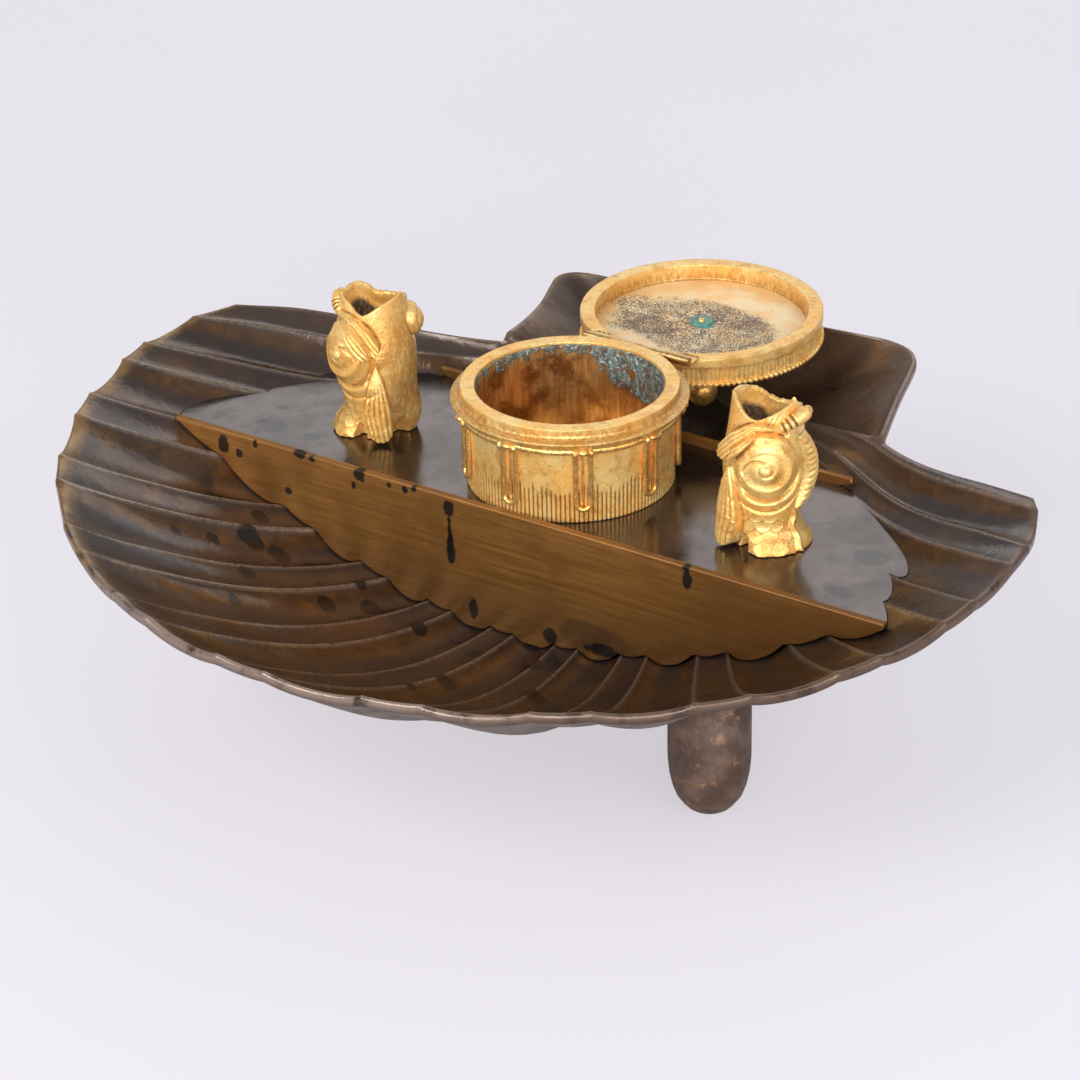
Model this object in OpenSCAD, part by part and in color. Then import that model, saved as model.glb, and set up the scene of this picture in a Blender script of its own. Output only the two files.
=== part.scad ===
// Desk inkstand: a scallop-shell dish on three feet carries a sheet-metal platform, one ink pot with a
// hinged lid, and two fish whose open mouths hold pens. The lid is drawn fully open, underside up.
// Frame: +X to the right along the platform's front wall, +Y towards the shell's hinge, +Z up, and the
// origin under the middle of the whole stand's outline, on the table.

/* [Shell dish] */
// Radius of the round part of the rim
shell_r = 146; // [142:1:150]
// Height of the rim's middle above the table
rim_h = 76; // [74:0.5:80]
// Rise of the rim for each mm towards the hinge
rim_slope = 0.036; // [0:0.004:0.05]
// Depth of the bowl below the rim
bowl_d = 47.0; // [46:0.1:49]
// Wall thickness of the casting, measured upright
shell_t = 3.2; // [2.6:0.2:4]
// Height of the rib crests above the mean surface
rib_h = 1.6; // [0:0.2:2.2]

/* [Feet] */
// Radius of a foot's shaft
foot_r = 11.7; // [10:0.1:14]
// Distance of the front feet from the middle plane
foot_x = 73; // [70:0.5:75]

/* [Platform] */
// Height of the deck's top face above the table
deck_h = 66; // [64:0.5:68]
// Thickness of the deck plate
deck_t = 1.2; // [1:0.1:1.6]
// Thickness of the front wall
front_t = 2.4; // [1.6:0.1:3]
// Thickness of the back rail
back_t = 1.5; // [1.2:0.1:2]
// Height of the front wall's lip above the deck
lip_h = 2; // [1:0.1:2.5]
// Height of the back rail above the deck
rail_h = 3; // [2:0.2:5]

/* [Ink pot] */
// Height of the pot above the deck
pot_h = 30; // [28:0.5:34]
// Outer radius of the plain rim band
rim_ro = 31.5; // [31:0.1:32]
// Inner radius of the pot
pot_ri = 27.2; // [26:0.1:27.6]

/* [Lid] */
// Outer radius of the lid's mouth
lid_ro = 36.4; // [36:0.1:36.6]
// Height of the lid's straight side
lid_side = 8.3; // [8:0.1:9]
// Distance of the hinge axis behind the pot's axis
hinge_y = 35.7; // [35.5:0.1:36]
// Depth of the hinge axis below the pot's rim
hinge_drop = 3.6; // [3.4:0.1:3.8]
// Radius of the ball knob
knob_r = 4.9; // [4:0.1:5.2]

/* [Fish pen holders] */
// Distance of each fish from the middle plane
fish_x = 67; // [65:0.5:68]
// Radius of the pen socket in each mouth
socket_r = 4.6; // [3.6:0.1:4.8]
// Depth of the pen socket
socket_d = 22; // [18:1:26]

/* [Hidden] */
$fn = 64;
gap = 0.05;             // play between pieces that bear on each other
seat_gap = 0.3;         // play under pieces scribed to the shell
bronze = "#4a3628";
brass = "#8a5f2a";
dark_plate = "#3a3430";
gilt = "#d9a441";
steel = "#6f6f6f";

// The pot's axis, from the middle of the stand's outline
pot_x = -0.55;
pot_y = 20.3;

// ---- The shell's surface, about the pot's axis ----
umbo_y = 88;            // where the ribs meet
disc_x = -2.5;          // middle of the round rim
umbo_d = 28;            // depth of the hollow under the hinge
rib_last = 13;          // number of the last rib; the first is 0
first_w = -0.18;        // rib coordinate of the left shoulder
notch_left = [69, 0.878];    // distance from the umbo, and share of the rim angle, of the left notch
notch_right = [86.4, 0.951];
corner_cut = 0.055;     // how much the round corners draw in
corner_w = 0.8;         // over how many ribs they do so
fan_edge = 66.5;        // angle at which the bowl's depth runs out
bowl_p = [1.002, 1];    // the bowl's profile from umbo to rim
// How the cast rim strays from a true circle and a true plane, as cosine waves across the fan
rim_wave = [3.17, -4.31, -0.75, 1.02, -1.12, 0.91, -0.82];
lift_wave = [3.15, -1.63, 1.2, -0.98, 0.67, -0.02];
shoulder_bow = [3.9, 1.0];     // by how many degrees the two shoulders bow, at most
band_w = 0.18;          // half the width of a raised rib, as a share of a rib's pitch

function rim_z(y) = rim_h + rim_slope * y;
function clamp(v, lo, hi) = max(lo, min(hi, v));
function side(w) = (w - first_w) / (rib_last - first_w);
function mix(a, b, t) = a + (b - a) * t;
function smooth(t) = let (u = clamp(t, 0, 1)) u * u * (3 - 2 * u);
function waves(sizes, t) = sizes * [for (k = [0 : len(sizes) - 1]) cos(180 * k * t)];

// Angle at the rim of rib coordinate w, from straight ahead
function rim_angle(w) = let (t = 2 * w / rib_last - 1)
    1.35 + 63.6 * (1.13 * t - 0.13 * pow(t, 3)) + 2.8 * (1 - t * t);

// Distance from umbo to rim: a circle seen from the umbo, with its two corners drawn in
function circle_r(a) = let (b = -disc_x * sin(a) - umbo_y * cos(a))
    -b + sqrt(b * b - disc_x * disc_x - umbo_y * umbo_y + shell_r * shell_r);
function corner(d) = corner_cut * pow(max(0, 1 - d / corner_w), 2);
function rim_r(w) = circle_r(rim_angle(w)) * (1 - corner(w - first_w) - corner(rib_last - w))
    + waves(rim_wave, side(w));
function notch_r(w) = mix(notch_left[0], notch_right[0], side(w));

// Angle of the rib at distance r from the umbo: the ribs curve outwards past the notches
function rib_angle(w, r) = let (
    far = rim_angle(w),
    near = far * mix(notch_left[1], notch_right[1], side(w)),
    u = max(0, (r - notch_r(w)) / (rim_r(w) - notch_r(w))))
    mix(near, far, pow(u, 1.3)) - sin(180 * min(u, 1)) * (shoulder_bow[0] * pow(max(0, 1 - 4 * side(w)), 2)
        + shoulder_bow[1] * pow(max(0, 4 * side(w) - 3), 2));
function plan(w, r) = let (a = rib_angle(w, r)) [r * sin(a), umbo_y - r * cos(a)];

function profile(s) = pow(s, bowl_p[0]) * pow(1 - s, bowl_p[1]);
profile_top = profile(bowl_p[0] / (bowl_p[0] + bowl_p[1]));
function bowl(w, s) = bowl_d * max(0, 1 - pow(rim_angle(w) / fan_edge, 2)) * profile(clamp(s, 0, 1))
    / profile_top;
function hollow(v) = umbo_d * pow(max(0, 1 - v), 1.1);

// Ribs: a raised band with two sharp crests and a round flute between bands
function rib(w) = let (f = abs(w - round(w)))
    f < band_w ? 1 - 0.35 * cos(90 * f / band_w) : 1 - 2 * sin(90 * (f - band_w) / (0.5 - band_w));
function relief(w, s) = rib_h * rib(w) * pow(sin(90 * clamp((s - 0.12) / 0.55, 0, 1)), 2)
    * (1 - 0.6 * smooth((s - 0.85) / 0.15));

function shell_z(w, r) = let (s = r / rim_r(w), y = plan(w, r)[1])
    rim_z(y) - norm([bowl(w, s), hollow(r / notch_r(w))]) + relief(w, s)
    + waves(lift_wave, side(w)) * smooth((s - 0.55) / 0.45);

// Rib coordinate and distance from the umbo of a point in plan, by a few steps of approach
function find(p, w, steps) = let (r = norm([p[0], umbo_y - p[1]]))
    steps == 0 ? [w, r] :
    find(p, w + (atan2(p[0], umbo_y - p[1]) - rib_angle(w, r)) / 10.5, steps - 1);
function skin_z(x, y) = let (q = find([x, y], 6.5 + atan2(x, umbo_y - y) / 10, 12)) shell_z(q[0], q[1]);
function underside(x, y) = skin_z(x, y) - shell_t;

// ---- The shell as a mesh: rays from the umbo, each with the same number of rings ----
inner_rings = 7;        // umbo to notch
outer_rings = 7;        // notch to rim
rings = inner_rings + outer_rings;
rib_steps = [-band_w, 0, band_w, 0.34, 0.5, 0.66];
disc_w = [for (i = [0 : rib_last - 1]) for (f = rib_steps) i + f, rib_last - band_w, rib_last];
rays = len(disc_w);

// The ears' outline from the right notch round the back to the left notch, about the pot's axis
ears = [[71, 62], [66.5, 76], [63.5, 87], [61, 94], [56, 99], [48, 101], [38, 100.3], [24, 99], [8, 98],
        [-10, 97.3], [-28, 96.6], [-42, 96.2], [-54, 96], [-61.5, 94], [-64.5, 89.5], [-63, 83],
        [-59.5, 72], [-57.5, 60]];
ear_dish = 2.5;         // extra hollow across an ear
function ear_side(m) = sin(180 * (m + 1) / (len(ears) + 1));
function ear_z(m, v) = rim_z(mix(umbo_y, ears[m][1], v)) - hollow(v) - ear_dish * sin(180 * v)
    * (1 - ear_side(m));
function ear_point(m, v) = [ears[m][0] * v, mix(umbo_y, ears[m][1], v), ear_z(m, v)];

function ring_r(w, k) = k <= inner_rings ? notch_r(w) * k / inner_rings
    : mix(notch_r(w), rim_r(w), (k - inner_rings) / outer_rings);
function disc_point(w, k) = let (r = ring_r(w, k)) concat(plan(w, r), [shell_z(w, r)]);

spokes = rays + len(ears);
function inner_point(j, k) = j < rays ? disc_point(disc_w[j], k) : ear_point(j - rays, k / inner_rings);
top_points = concat(
    [[0, umbo_y, rim_z(umbo_y) - umbo_d]],
    [for (k = [1 : inner_rings]) for (j = [0 : spokes - 1]) inner_point(j, k)],
    [for (k = [inner_rings + 1 : rings]) for (j = [0 : rays - 1]) disc_point(disc_w[j], k)]);
sheet_n = len(top_points);
low_points = [for (p = top_points) p - [0, 0, shell_t]];

function inner_at(k, j) = k == 0 ? 0 : 1 + (k - 1) * spokes + j % spokes;
function at(k, j) = k <= inner_rings ? inner_at(k, j)
    : 1 + inner_rings * spokes + (k - inner_rings - 1) * rays + j;
function quad(a, b, c, d) = [[a, b, c], [a, c, d]];
sheet_faces = concat(
    [for (j = [0 : spokes - 1]) [0, inner_at(1, j + 1), inner_at(1, j)]],
    [for (k = [1 : inner_rings - 1]) for (j = [0 : spokes - 1])
        each quad(at(k, j), inner_at(k, j + 1), inner_at(k + 1, j + 1), at(k + 1, j))],
    [for (k = [inner_rings : rings - 1]) for (j = [0 : rays - 2])
        each quad(at(k, j), at(k, j + 1), at(k + 1, j + 1), at(k + 1, j))]);
// The edge of the sheet, in order round the outline
edge = concat(
    [for (j = [0 : rays - 1]) at(rings, j)],
    [for (k = [rings - 1 : -1 : inner_rings]) at(k, rays - 1)],
    [for (j = [rays : spokes - 1]) at(inner_rings, j)],
    [for (k = [inner_rings : rings - 1]) at(k, 0)]);

module placed() translate([pot_x, pot_y, 0]) children();

module shell_sheet() polyhedron(
    points = concat(top_points, low_points),
    faces = concat(
        sheet_faces,
        [for (f = sheet_faces) [f[0] + sheet_n, f[2] + sheet_n, f[1] + sheet_n]],
        [for (i = [0 : len(edge) - 1]) let (a = edge[i], b = edge[(i + 1) % len(edge)])
            each quad(a, b, b + sheet_n, a + sheet_n)]),
    convexity = 6);

// ---- Feet and the headless studs that hold them ----
foot_back_y = 60;       // the back foot, behind the pot
front_foot_y = -42;
screw_r = 2;            // screws and studs in this stand
screw_play = 0.1;
foot_spots = [[foot_x, front_foot_y], [-foot_x, front_foot_y], [0, foot_back_y]];
foot_sides = 28;
// Height and share of the shaft's radius up a foot
foot_rings = [[0, 0.38], [1, 0.53], [2.5, 0.65], [5, 0.8], [8, 0.89], [12, 0.963], [16, 1]];
stud_in = 12;           // how far a stud goes into a foot
stud_cover = 0.8;       // metal left over a stud's blind hole in the dish

// Lowest point of the shell's underside close to a point, less the seating gap
function low(x, y) = min([for (dx = [-2.5 : 2.5 : 2.5]) for (dy = [-2.5 : 2.5 : 2.5])
    underside(x + dx, y + dy)]) - seat_gap;
function foot_ring(spot, r, z) = [for (i = [0 : foot_sides - 1]) let (a = 360 * i / foot_sides,
    x = spot[0] + r * cos(a), y = spot[1] + r * sin(a)) [x, y, z < 0 ? low(x, y) : z]];
top_rings = [1, 0.66, 0.33];

module foot(spot) {
    points = concat(
        [for (q = foot_rings) each foot_ring(spot, q[1] * foot_r, q[0])],
        [for (q = top_rings) each foot_ring(spot, q * foot_r, -1)],
        [[spot[0], spot[1], low(spot[0], spot[1])]]);
    levels = len(foot_rings) + len(top_rings) - 1;
    centre = len(points) - 1;
    difference() {
        polyhedron(points = points, faces = concat(
            [[for (i = [0 : foot_sides - 1]) i]],
            [for (k = [0 : levels - 1]) for (i = [0 : foot_sides - 1]) let (n = (i + 1) % foot_sides)
                each quad(k * foot_sides + i, (k + 1) * foot_sides + i, (k + 1) * foot_sides + n,
                    k * foot_sides + n)],
            [for (i = [0 : foot_sides - 1]) [levels * foot_sides + i, centre,
                levels * foot_sides + (i + 1) % foot_sides]]));
        stud_space(spot, screw_r + screw_play, 0);
    }
}
// Upright room for a stud, from inside the foot to just under the dish's top surface
module stud_space(spot, r, play) {
    start = low(spot[0], spot[1]) - stud_in + play;
    end = min([for (a = [0 : 30 : 330]) skin_z(spot[0] + r * cos(a), spot[1] + r * sin(a))])
        - stud_cover - play;
    translate([spot[0], spot[1], start]) cylinder(r = r, h = end - start);
}
module screw_head() difference() {
    cylinder(r = 2 * screw_r, h = 2);
    translate([-3 * screw_r, -0.4, 1]) cube([6 * screw_r, 0.8, 2]);
}

// ---- Platform ----
front_y = -30.6;        // back face of the front wall
back_y = 35.5;          // front face of the back wall

// The point of a ray, on the mesh, where it last passes a value of y (axis 1) or z (axis 2)
function between(a, b, axis, value) = a + (b - a) * (value - a[axis]) / (b[axis] - a[axis]);
function last_pass(w, axis, value, sign, k) = let (a = disc_point(w, k))
    k == 0 || sign * a[axis] < sign * value ? between(a, disc_point(w, k + 1), axis, value)
    : last_pass(w, axis, value, sign, k - 1);
deck_low = deck_h - deck_t;
edge_drop = 1.25;       // the deck's edge stays this much above the shell
edge_steps = 3;         // the edge is bevelled to the shell in steps
edge_step = deck_t / edge_steps;
function deck_edge(level) = [for (w = disc_w) let (p = last_pass(w, 2, level - edge_drop, 1, rings - 1),
    out = [p[0], p[1] - umbo_y], share = 1 - seat_gap / norm(out)) [out[0] * share, umbo_y + out[1] * share]];

module plan_strip(y0, y1) translate([-2 * shell_r, y0]) square([4 * shell_r, y1 - y0]);

// The shell's surface along an upright plane at y, as a table of height over x
function section(y) = [for (w = disc_w) if (disc_point(w, rings)[1] < y)
    let (p = last_pass(w, 1, y, -1, rings - 1)) [p[0], p[2]]];

// An upright wall whose back face is at y, scribed to the shell below and straight above
scribe_step = 2;
module scribed_wall(y, thick, top) {
    faces = [section(y), section(y - thick / 2), section(y - thick)];
    first = max([for (t = faces) t[0][0]]);
    last = min([for (t = faces) t[len(t) - 1][0]]);
    foot_line = [for (x = [first + 1 : scribe_step : last - 1])
        let (z = max([for (t = faces) for (d = [-1, 0, 1]) lookup(x + d, t)]) + seat_gap)
        if (z < top - 0.3) [x, z]];
    ends = [foot_line[0], foot_line[len(foot_line) - 1]];
    translate([0, y, 0]) rotate([90, 0, 0]) linear_extrude(thick)
        polygon(concat([[ends[0][0], top]], foot_line, [[ends[1][0], top]]));
}

// ---- Ink pot ----
rim_top = deck_h + pot_h;
floor_t = 2;
drum_ro = 30.5;         // drum at the foot of the pot
drum_h = 23.9;
collar_ro = 34.5;
band_h = 2.7;           // how far the closed lid comes down over the rim
loop_count = 9;
knot_r = 1.25;
cord_r = 0.8;
cord_z = 22.6;          // cord ring above the deck
cord_mid = drum_ro + gap + cord_r;
sleeve_ro = 29;         // the drum's neck inside the collar
ledge_r = 32.3;         // ledge under the plain rim band
seat_r = ledge_r - 0.3; // where the hinge's fixed leaf meets the collar

module pot_frame() placed() translate([0, 0, deck_h]) children();

// ---- Bolt that ties pot, deck and shell together ----
washer_r = 5;
washer_t = 1;
nut_r = 4.4;
nut_t = 3;
// The washer bears on the lowest point of the ribbed underside round the bolt
washer_top = min([for (a = [0 : 30 : 330]) for (r = [2, 3.5, 5]) underside(r * cos(a), r * sin(a))]) - gap;
bolt_end = washer_top - washer_t - nut_t - 2;

// ---- Hinge ----
barrel_r = 1.3;
pin_r = 0.6;
pin_play = 0.05;
knuckle = 12;           // length of each of the three knuckles
knuckle_gap = 0.2;
leaf_t = 0.9;
leaf_w = 4.4;           // from the axis into the collar's seat
flange_gap = 0.2;       // between the hinge and the flange beside it
axis_z = rim_top - hinge_drop;

module hinge_frame() placed() translate([0, hinge_y, axis_z]) children();
module along_x(x0, len) translate([x0, 0, 0]) rotate([0, 90, 0]) linear_extrude(len) children();

// ---- Lid, open: its mouth faces up and its top hangs below ----
lid_y = 2 * hinge_y;
lid_ri = 31.9;
lid_drop = hinge_drop * 2 - band_h;     // mouth below the pot's rim when open
recess_d = 5;
lid_band = 3;           // plain band round the lid's mouth
knob_seat = 14.2;
knob_z = 27.2;          // middle of the ball, from the mouth
stud_low = recess_d - 1.4;
mouth_off = lid_drop - hinge_drop;      // from the hinge axis to the mouth plane
lid_leaf_t = 0.8;
lid_leaf_w = 5.1;
module lid_frame() placed() translate([0, lid_y, rim_top - lid_drop]) rotate([180, 0, 0]) children();

// ---- Fish: each is drawn once as the left one and mirrored for the right ----
fish_y = -2.5;          // behind the pot's axis
fish_sides = 40;        // rays round the body
fish_levels = 18;       // levels up the body
lip_t = 1.3;            // thickness of the lip round the mouth
throat_z = 30;          // where the mouth's funnel meets the socket
screw_bite = 6;         // how far the holding screw goes in
// Angle is measured from straight ahead towards the right
function turn(a, b) = abs((a - b + 540) % 360 - 180);
function hump(a, z, at, size, h) = h * exp(-pow(turn(a, at[0]) / size[0], 2) - pow((z - at[1]) / size[1], 2));
// Height and radius of the plain trunk
trunk = [[0, 9], [4, 9.6], [9, 10.2], [15, 11.4], [21, 11.9], [27, 11.6], [33, 10.6], [38, 9.6],
    [45, 8.8]];
// Angle round the mouth and height of its lip above the deck
lip = [[-180, 42.3], [-150, 41.8], [-125, 42.6], [-100, 44.6], [-72, 44], [-52, 43], [-25, 41.4],
    [-5, 39.8], [11, 38.4], [25, 40.2], [45, 42], [70, 43.9], [98, 44.6], [125, 44], [150, 43.2],
    [180, 42.3]];
function trunk_r(z) = lookup(z, trunk);
function fish_r(a, z) = trunk_r(z)
    + hump(a, z, [-28, 27.5], [34, 8.5], 3)         // near eye
    + hump(a, z, [136, 34.5], [26, 5.5], 4.2)       // far eye
    + hump(a, z, [-104, 23], [15, 9], 3)            // gill
    + hump(a, z, [-90, 40.5], [16, 3.2], 4.6)       // barbel
    + hump(a, z, [30, 32.5], [17, 6], 5.6)          // leaf fin
    + hump(a, z, [38, 9], [19, 10], 4.4)            // long fin
    + hump(a, z, [-76, 1], [46, 6], 4)              // tail
    + hump(a, z, [116, 4], [26, 8], 4)              // rear foot
    - hump(a, z, [6, -1], [24, 5], 4);              // hollow between tail and long fin
function lip_z(a) = lookup((a + 180) % 360 - 180, lip);

module fish() {
    step = 360 / fish_sides;
    body = [for (k = [0 : fish_levels]) for (i = [0 : fish_sides - 1]) let (a = i * step,
        z = gap + (lip_z(a) - gap) * k / fish_levels, r = fish_r(a, z)) [r * sin(a), -r * cos(a), z]];
    edge_ring = [for (i = [0 : fish_sides - 1]) let (a = i * step, z = lip_z(a), r = fish_r(a, z) - lip_t)
        [r * sin(a), -r * cos(a), z]];
    mouth = [for (i = [0 : fish_sides - 1]) let (a = i * step)
        [(socket_r - 0.4) * sin(a), -(socket_r - 0.4) * cos(a), throat_z]];
    points = concat(body, edge_ring, mouth);
    top_level = fish_levels + 2;
    difference() {
        polyhedron(points = points, faces = concat(
            [[for (i = [0 : fish_sides - 1]) i]],
            [for (k = [0 : top_level - 1]) for (i = [0 : fish_sides - 1]) let (n = (i + 1) % fish_sides)
                each quad(k * fish_sides + i, (k + 1) * fish_sides + i, (k + 1) * fish_sides + n,
                    k * fish_sides + n)],
            [[for (i = [fish_sides - 1 : -1 : 0]) top_level * fish_sides + i]]), convexity = 8);
        translate([0, 0, throat_z - socket_d]) cylinder(r = socket_r, h = socket_d + 1);
        translate([0, 0, -1]) cylinder(r = screw_r + gap, h = screw_bite + 1.5);
    }
}
module fish_place(s) pot_frame() mirror([s > 0 ? 1 : 0, 0, 0]) translate([-fish_x, fish_y, 0]) children();

// ================= Pieces =================
module shell_tray() color(bronze) placed() difference() {
    shell_sheet();
    for (s = foot_spots) stud_space(s, screw_r + screw_play, 0);
    cylinder(r = screw_r + screw_play, h = deck_h - 10);
}
module foot_front_right() color(bronze) placed() foot(foot_spots[0]);
module foot_front_left() color(bronze) placed() foot(foot_spots[1]);
module foot_back() color(bronze) placed() foot(foot_spots[2]);
module foot_studs() color(steel) placed() for (s = foot_spots) stud_space(s, screw_r, 0.3);

module deck_plate() color(dark_plate) placed() translate([0, 0, deck_low]) difference() {
    for (z = [0 : edge_step : deck_t - edge_step / 2])
        translate([0, 0, z]) linear_extrude(edge_step) intersection() {
            polygon(deck_edge(deck_low + z));
            plan_strip(front_y + gap, back_y - gap);
        }
    translate([0, 0, -1]) cylinder(r = screw_r + screw_play, h = deck_t + 2);
    for (x = [-fish_x, fish_x]) translate([x, fish_y, -1]) cylinder(r = screw_r + screw_play, h = deck_t + 2);
}
module front_wall() color(brass) placed() scribed_wall(front_y, front_t, deck_h + lip_h);
module back_wall() color(brass) placed() scribed_wall(back_y + back_t, back_t, deck_h + rail_h);

module tie_bolt() color(steel) placed() {
    translate([0, 0, bolt_end]) cylinder(r = screw_r, h = deck_h + floor_t + 2 * gap - bolt_end);
    translate([0, 0, deck_h + floor_t + 2 * gap]) screw_head();
}
module tie_washer() color(steel) placed() translate([0, 0, washer_top - washer_t]) difference() {
    cylinder(r = washer_r, h = washer_t);
    translate([0, 0, -1]) cylinder(r = screw_r + gap, h = washer_t + 2);
}
module tie_nut() color(steel) placed() translate([0, 0, washer_top - washer_t - gap - nut_t]) difference() {
    cylinder(r = nut_r, h = nut_t, $fn = 6);
    translate([0, 0, -1]) cylinder(r = screw_r + gap, h = nut_t + 2);
}

module pot_drum() color(gilt) pot_frame() rotate_extrude()
    polygon([[pot_ri, gap], [drum_ro - 0.5, gap], [drum_ro, drum_h], [sleeve_ro, drum_h], [sleeve_ro, pot_h],
        [pot_ri, pot_h]]);
module pot_floor() color(gilt) pot_frame() translate([0, 0, gap]) difference() {
    cylinder(r = pot_ri - gap, h = floor_t);
    translate([0, 0, -1]) cylinder(r = screw_r + screw_play, h = floor_t + 2);
}
// The collar's flange is cut away round the hinge
module pot_collar() color(gilt) difference() {
    pot_frame() rotate_extrude()
        polygon([[sleeve_ro + gap, drum_h + gap], [collar_ro - 1.6, drum_h + gap], [collar_ro, drum_h + 0.8],
            [collar_ro, drum_h + 2], [collar_ro - 0.8, drum_h + 2.5], [ledge_r, pot_h - 3.2],
            [ledge_r, pot_h - 3], [rim_ro, pot_h - 3], [rim_ro, pot_h], [sleeve_ro + gap, pot_h]]);
    difference() {
        hinge_frame() along_x(-1.5 * knuckle - flange_gap, 3 * knuckle + 2 * flange_gap) {
            circle(r = barrel_r + flange_gap);
            translate([-2, -leaf_w - 2]) square([2 + leaf_t / 2 + 2 * gap, leaf_w + 2]);
        }
        placed() cylinder(r = seat_r, h = rim_top + 5);
    }
}

// A hairpin of cord hanging from a pair of knots
module loop() {
    half = 2.15;        // half the width between the two strands
    low = 7.4;          // middle of the bend, above the deck
    for (x = [-half, half]) {
        translate([x, 0, low]) cylinder(r = cord_r - 0.1, h = cord_z - low);
        translate([x * 0.8, cord_r - knot_r, cord_z]) sphere(r = knot_r);
    }
    translate([0, 0, low]) rotate([90, 0, 0]) rotate([0, 0, 180]) rotate_extrude(angle = 180)
        translate([half, 0]) circle(r = cord_r - 0.1);
}
module pot_cord_ring() color(gilt) pot_frame() {
    translate([0, 0, cord_z]) rotate_extrude() translate([cord_mid, 0]) circle(r = cord_r);
    for (i = [0 : loop_count - 1]) rotate([0, 0, i * 360 / loop_count])
        translate([0, -cord_mid, 0]) loop();
}

module pot_hinge_leaf() color(gilt) difference() {
    hinge_frame() along_x(-knuckle / 2, knuckle) difference() {
        union() {
            circle(r = barrel_r);
            translate([-leaf_t / 2, -leaf_w]) square([leaf_t, leaf_w]);
        }
        circle(r = pin_r + 0.02);
    }
    placed() cylinder(r = seat_r + gap, h = rim_top + 5);
}
module hinge_pin() color(gilt) hinge_frame() along_x(-1.5 * knuckle, 3 * knuckle) circle(r = pin_r);

module lid_hinge_leaf() color(gilt) difference() {
    hinge_frame() for (x = [-1.5 * knuckle, knuckle / 2 + knuckle_gap])
        along_x(x, knuckle - knuckle_gap) difference() {
            union() {
                circle(r = barrel_r);
                translate([mouth_off, 0]) square([lid_leaf_t, lid_leaf_w]);
            }
            circle(r = pin_r + pin_play);
        }
    placed() translate([0, lid_y, 0]) cylinder(r = lid_ri, h = rim_top + 5);
}
module lid_body() color(gilt) difference() {
    lid_frame() rotate_extrude() polygon([[0, recess_d], [lid_ri, recess_d], [lid_ri, 0], [lid_ro, 0],
        [lid_ro, lid_band], [lid_ro - 0.7, lid_band + 0.3], [lid_ro - 0.7, lid_side],
        [lid_ro - 1.4, lid_side + 0.6], [20, 11], [8, 13.4], [3.6, knob_seat], [0, knob_seat]]);
    hinge_frame() along_x(-1.5 * knuckle - gap, 3 * knuckle + 2 * gap) {
        circle(r = barrel_r + gap);
        translate([mouth_off - 1, -barrel_r]) square([lid_leaf_t + 1 + gap, lid_leaf_w + barrel_r + gap]);
    }
    hinge_frame() along_x(-knuckle / 2 - knuckle_gap / 2, knuckle + knuckle_gap) circle(r = barrel_r + 0.3);
    lid_frame() translate([0, 0, -1]) cylinder(r = screw_r / 2 + gap, h = knob_seat + 2);
}
module lid_bead_ring() color(gilt) lid_frame() difference() {
    translate([0, 0, lid_side - 0.6]) rotate_extrude()
        translate([lid_ro + 0.15, 0]) circle(r = 0.75, $fn = 24);
    cylinder(r = lid_ro - 0.7 + gap, h = lid_side + 2);
}
module lid_knob() color(gilt) lid_frame() {
    translate([0, 0, knob_seat + gap]) rotate_extrude()
        polygon([[0, 0], [3.6, 0], [3.2, 2], [2.6, 4], [3, 7.5], [2.4, 9], [0, 9]]);
    translate([0, 0, knob_z]) sphere(r = knob_r);
    translate([0, 0, stud_low]) cylinder(r = screw_r / 2, h = knob_seat + 2 - stud_low);
}
module lid_knob_washer() color(gilt) lid_frame() translate([0, 0, recess_d - 0.8 - gap]) difference() {
    cylinder(r = 3.4, h = 0.8);
    translate([0, 0, -1]) cylinder(r = screw_r / 2 + gap, h = 3);
}

module fish_left() color(gilt) fish_place(-1) fish();
module fish_right() color(gilt) fish_place(1) fish();
module fish_screws() color(steel) for (s = [-1, 1]) fish_place(s) {
    translate([0, 0, -deck_t - 2]) cylinder(r = screw_r, h = deck_t + 2 + screw_bite);
    translate([0, 0, -deck_t - 2 - gap]) cylinder(r = 2 * screw_r, h = 2);
}

shell_tray();
foot_front_right();
foot_front_left();
foot_back();
foot_studs();
deck_plate();
front_wall();
back_wall();
tie_bolt();
tie_washer();
tie_nut();
pot_drum();
pot_floor();
pot_collar();
pot_cord_ring();
pot_hinge_leaf();
hinge_pin();
lid_hinge_leaf();
lid_body();
lid_bead_ring();
lid_knob();
lid_knob_washer();
fish_left();
fish_right();
fish_screws();
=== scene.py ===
"""Desk inkstand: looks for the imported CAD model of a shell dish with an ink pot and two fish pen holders.

Lengths are millimetres in the stand's frame until build() turns them into metres. Angles round a fish or
the pot are degrees from straight ahead (-Y) towards the right (+X).
"""
import math
from functools import cache

import bpy
import numpy as np
from mathutils import Matrix, Vector
from mathutils.geometry import delaunay_2d_cdt

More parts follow.
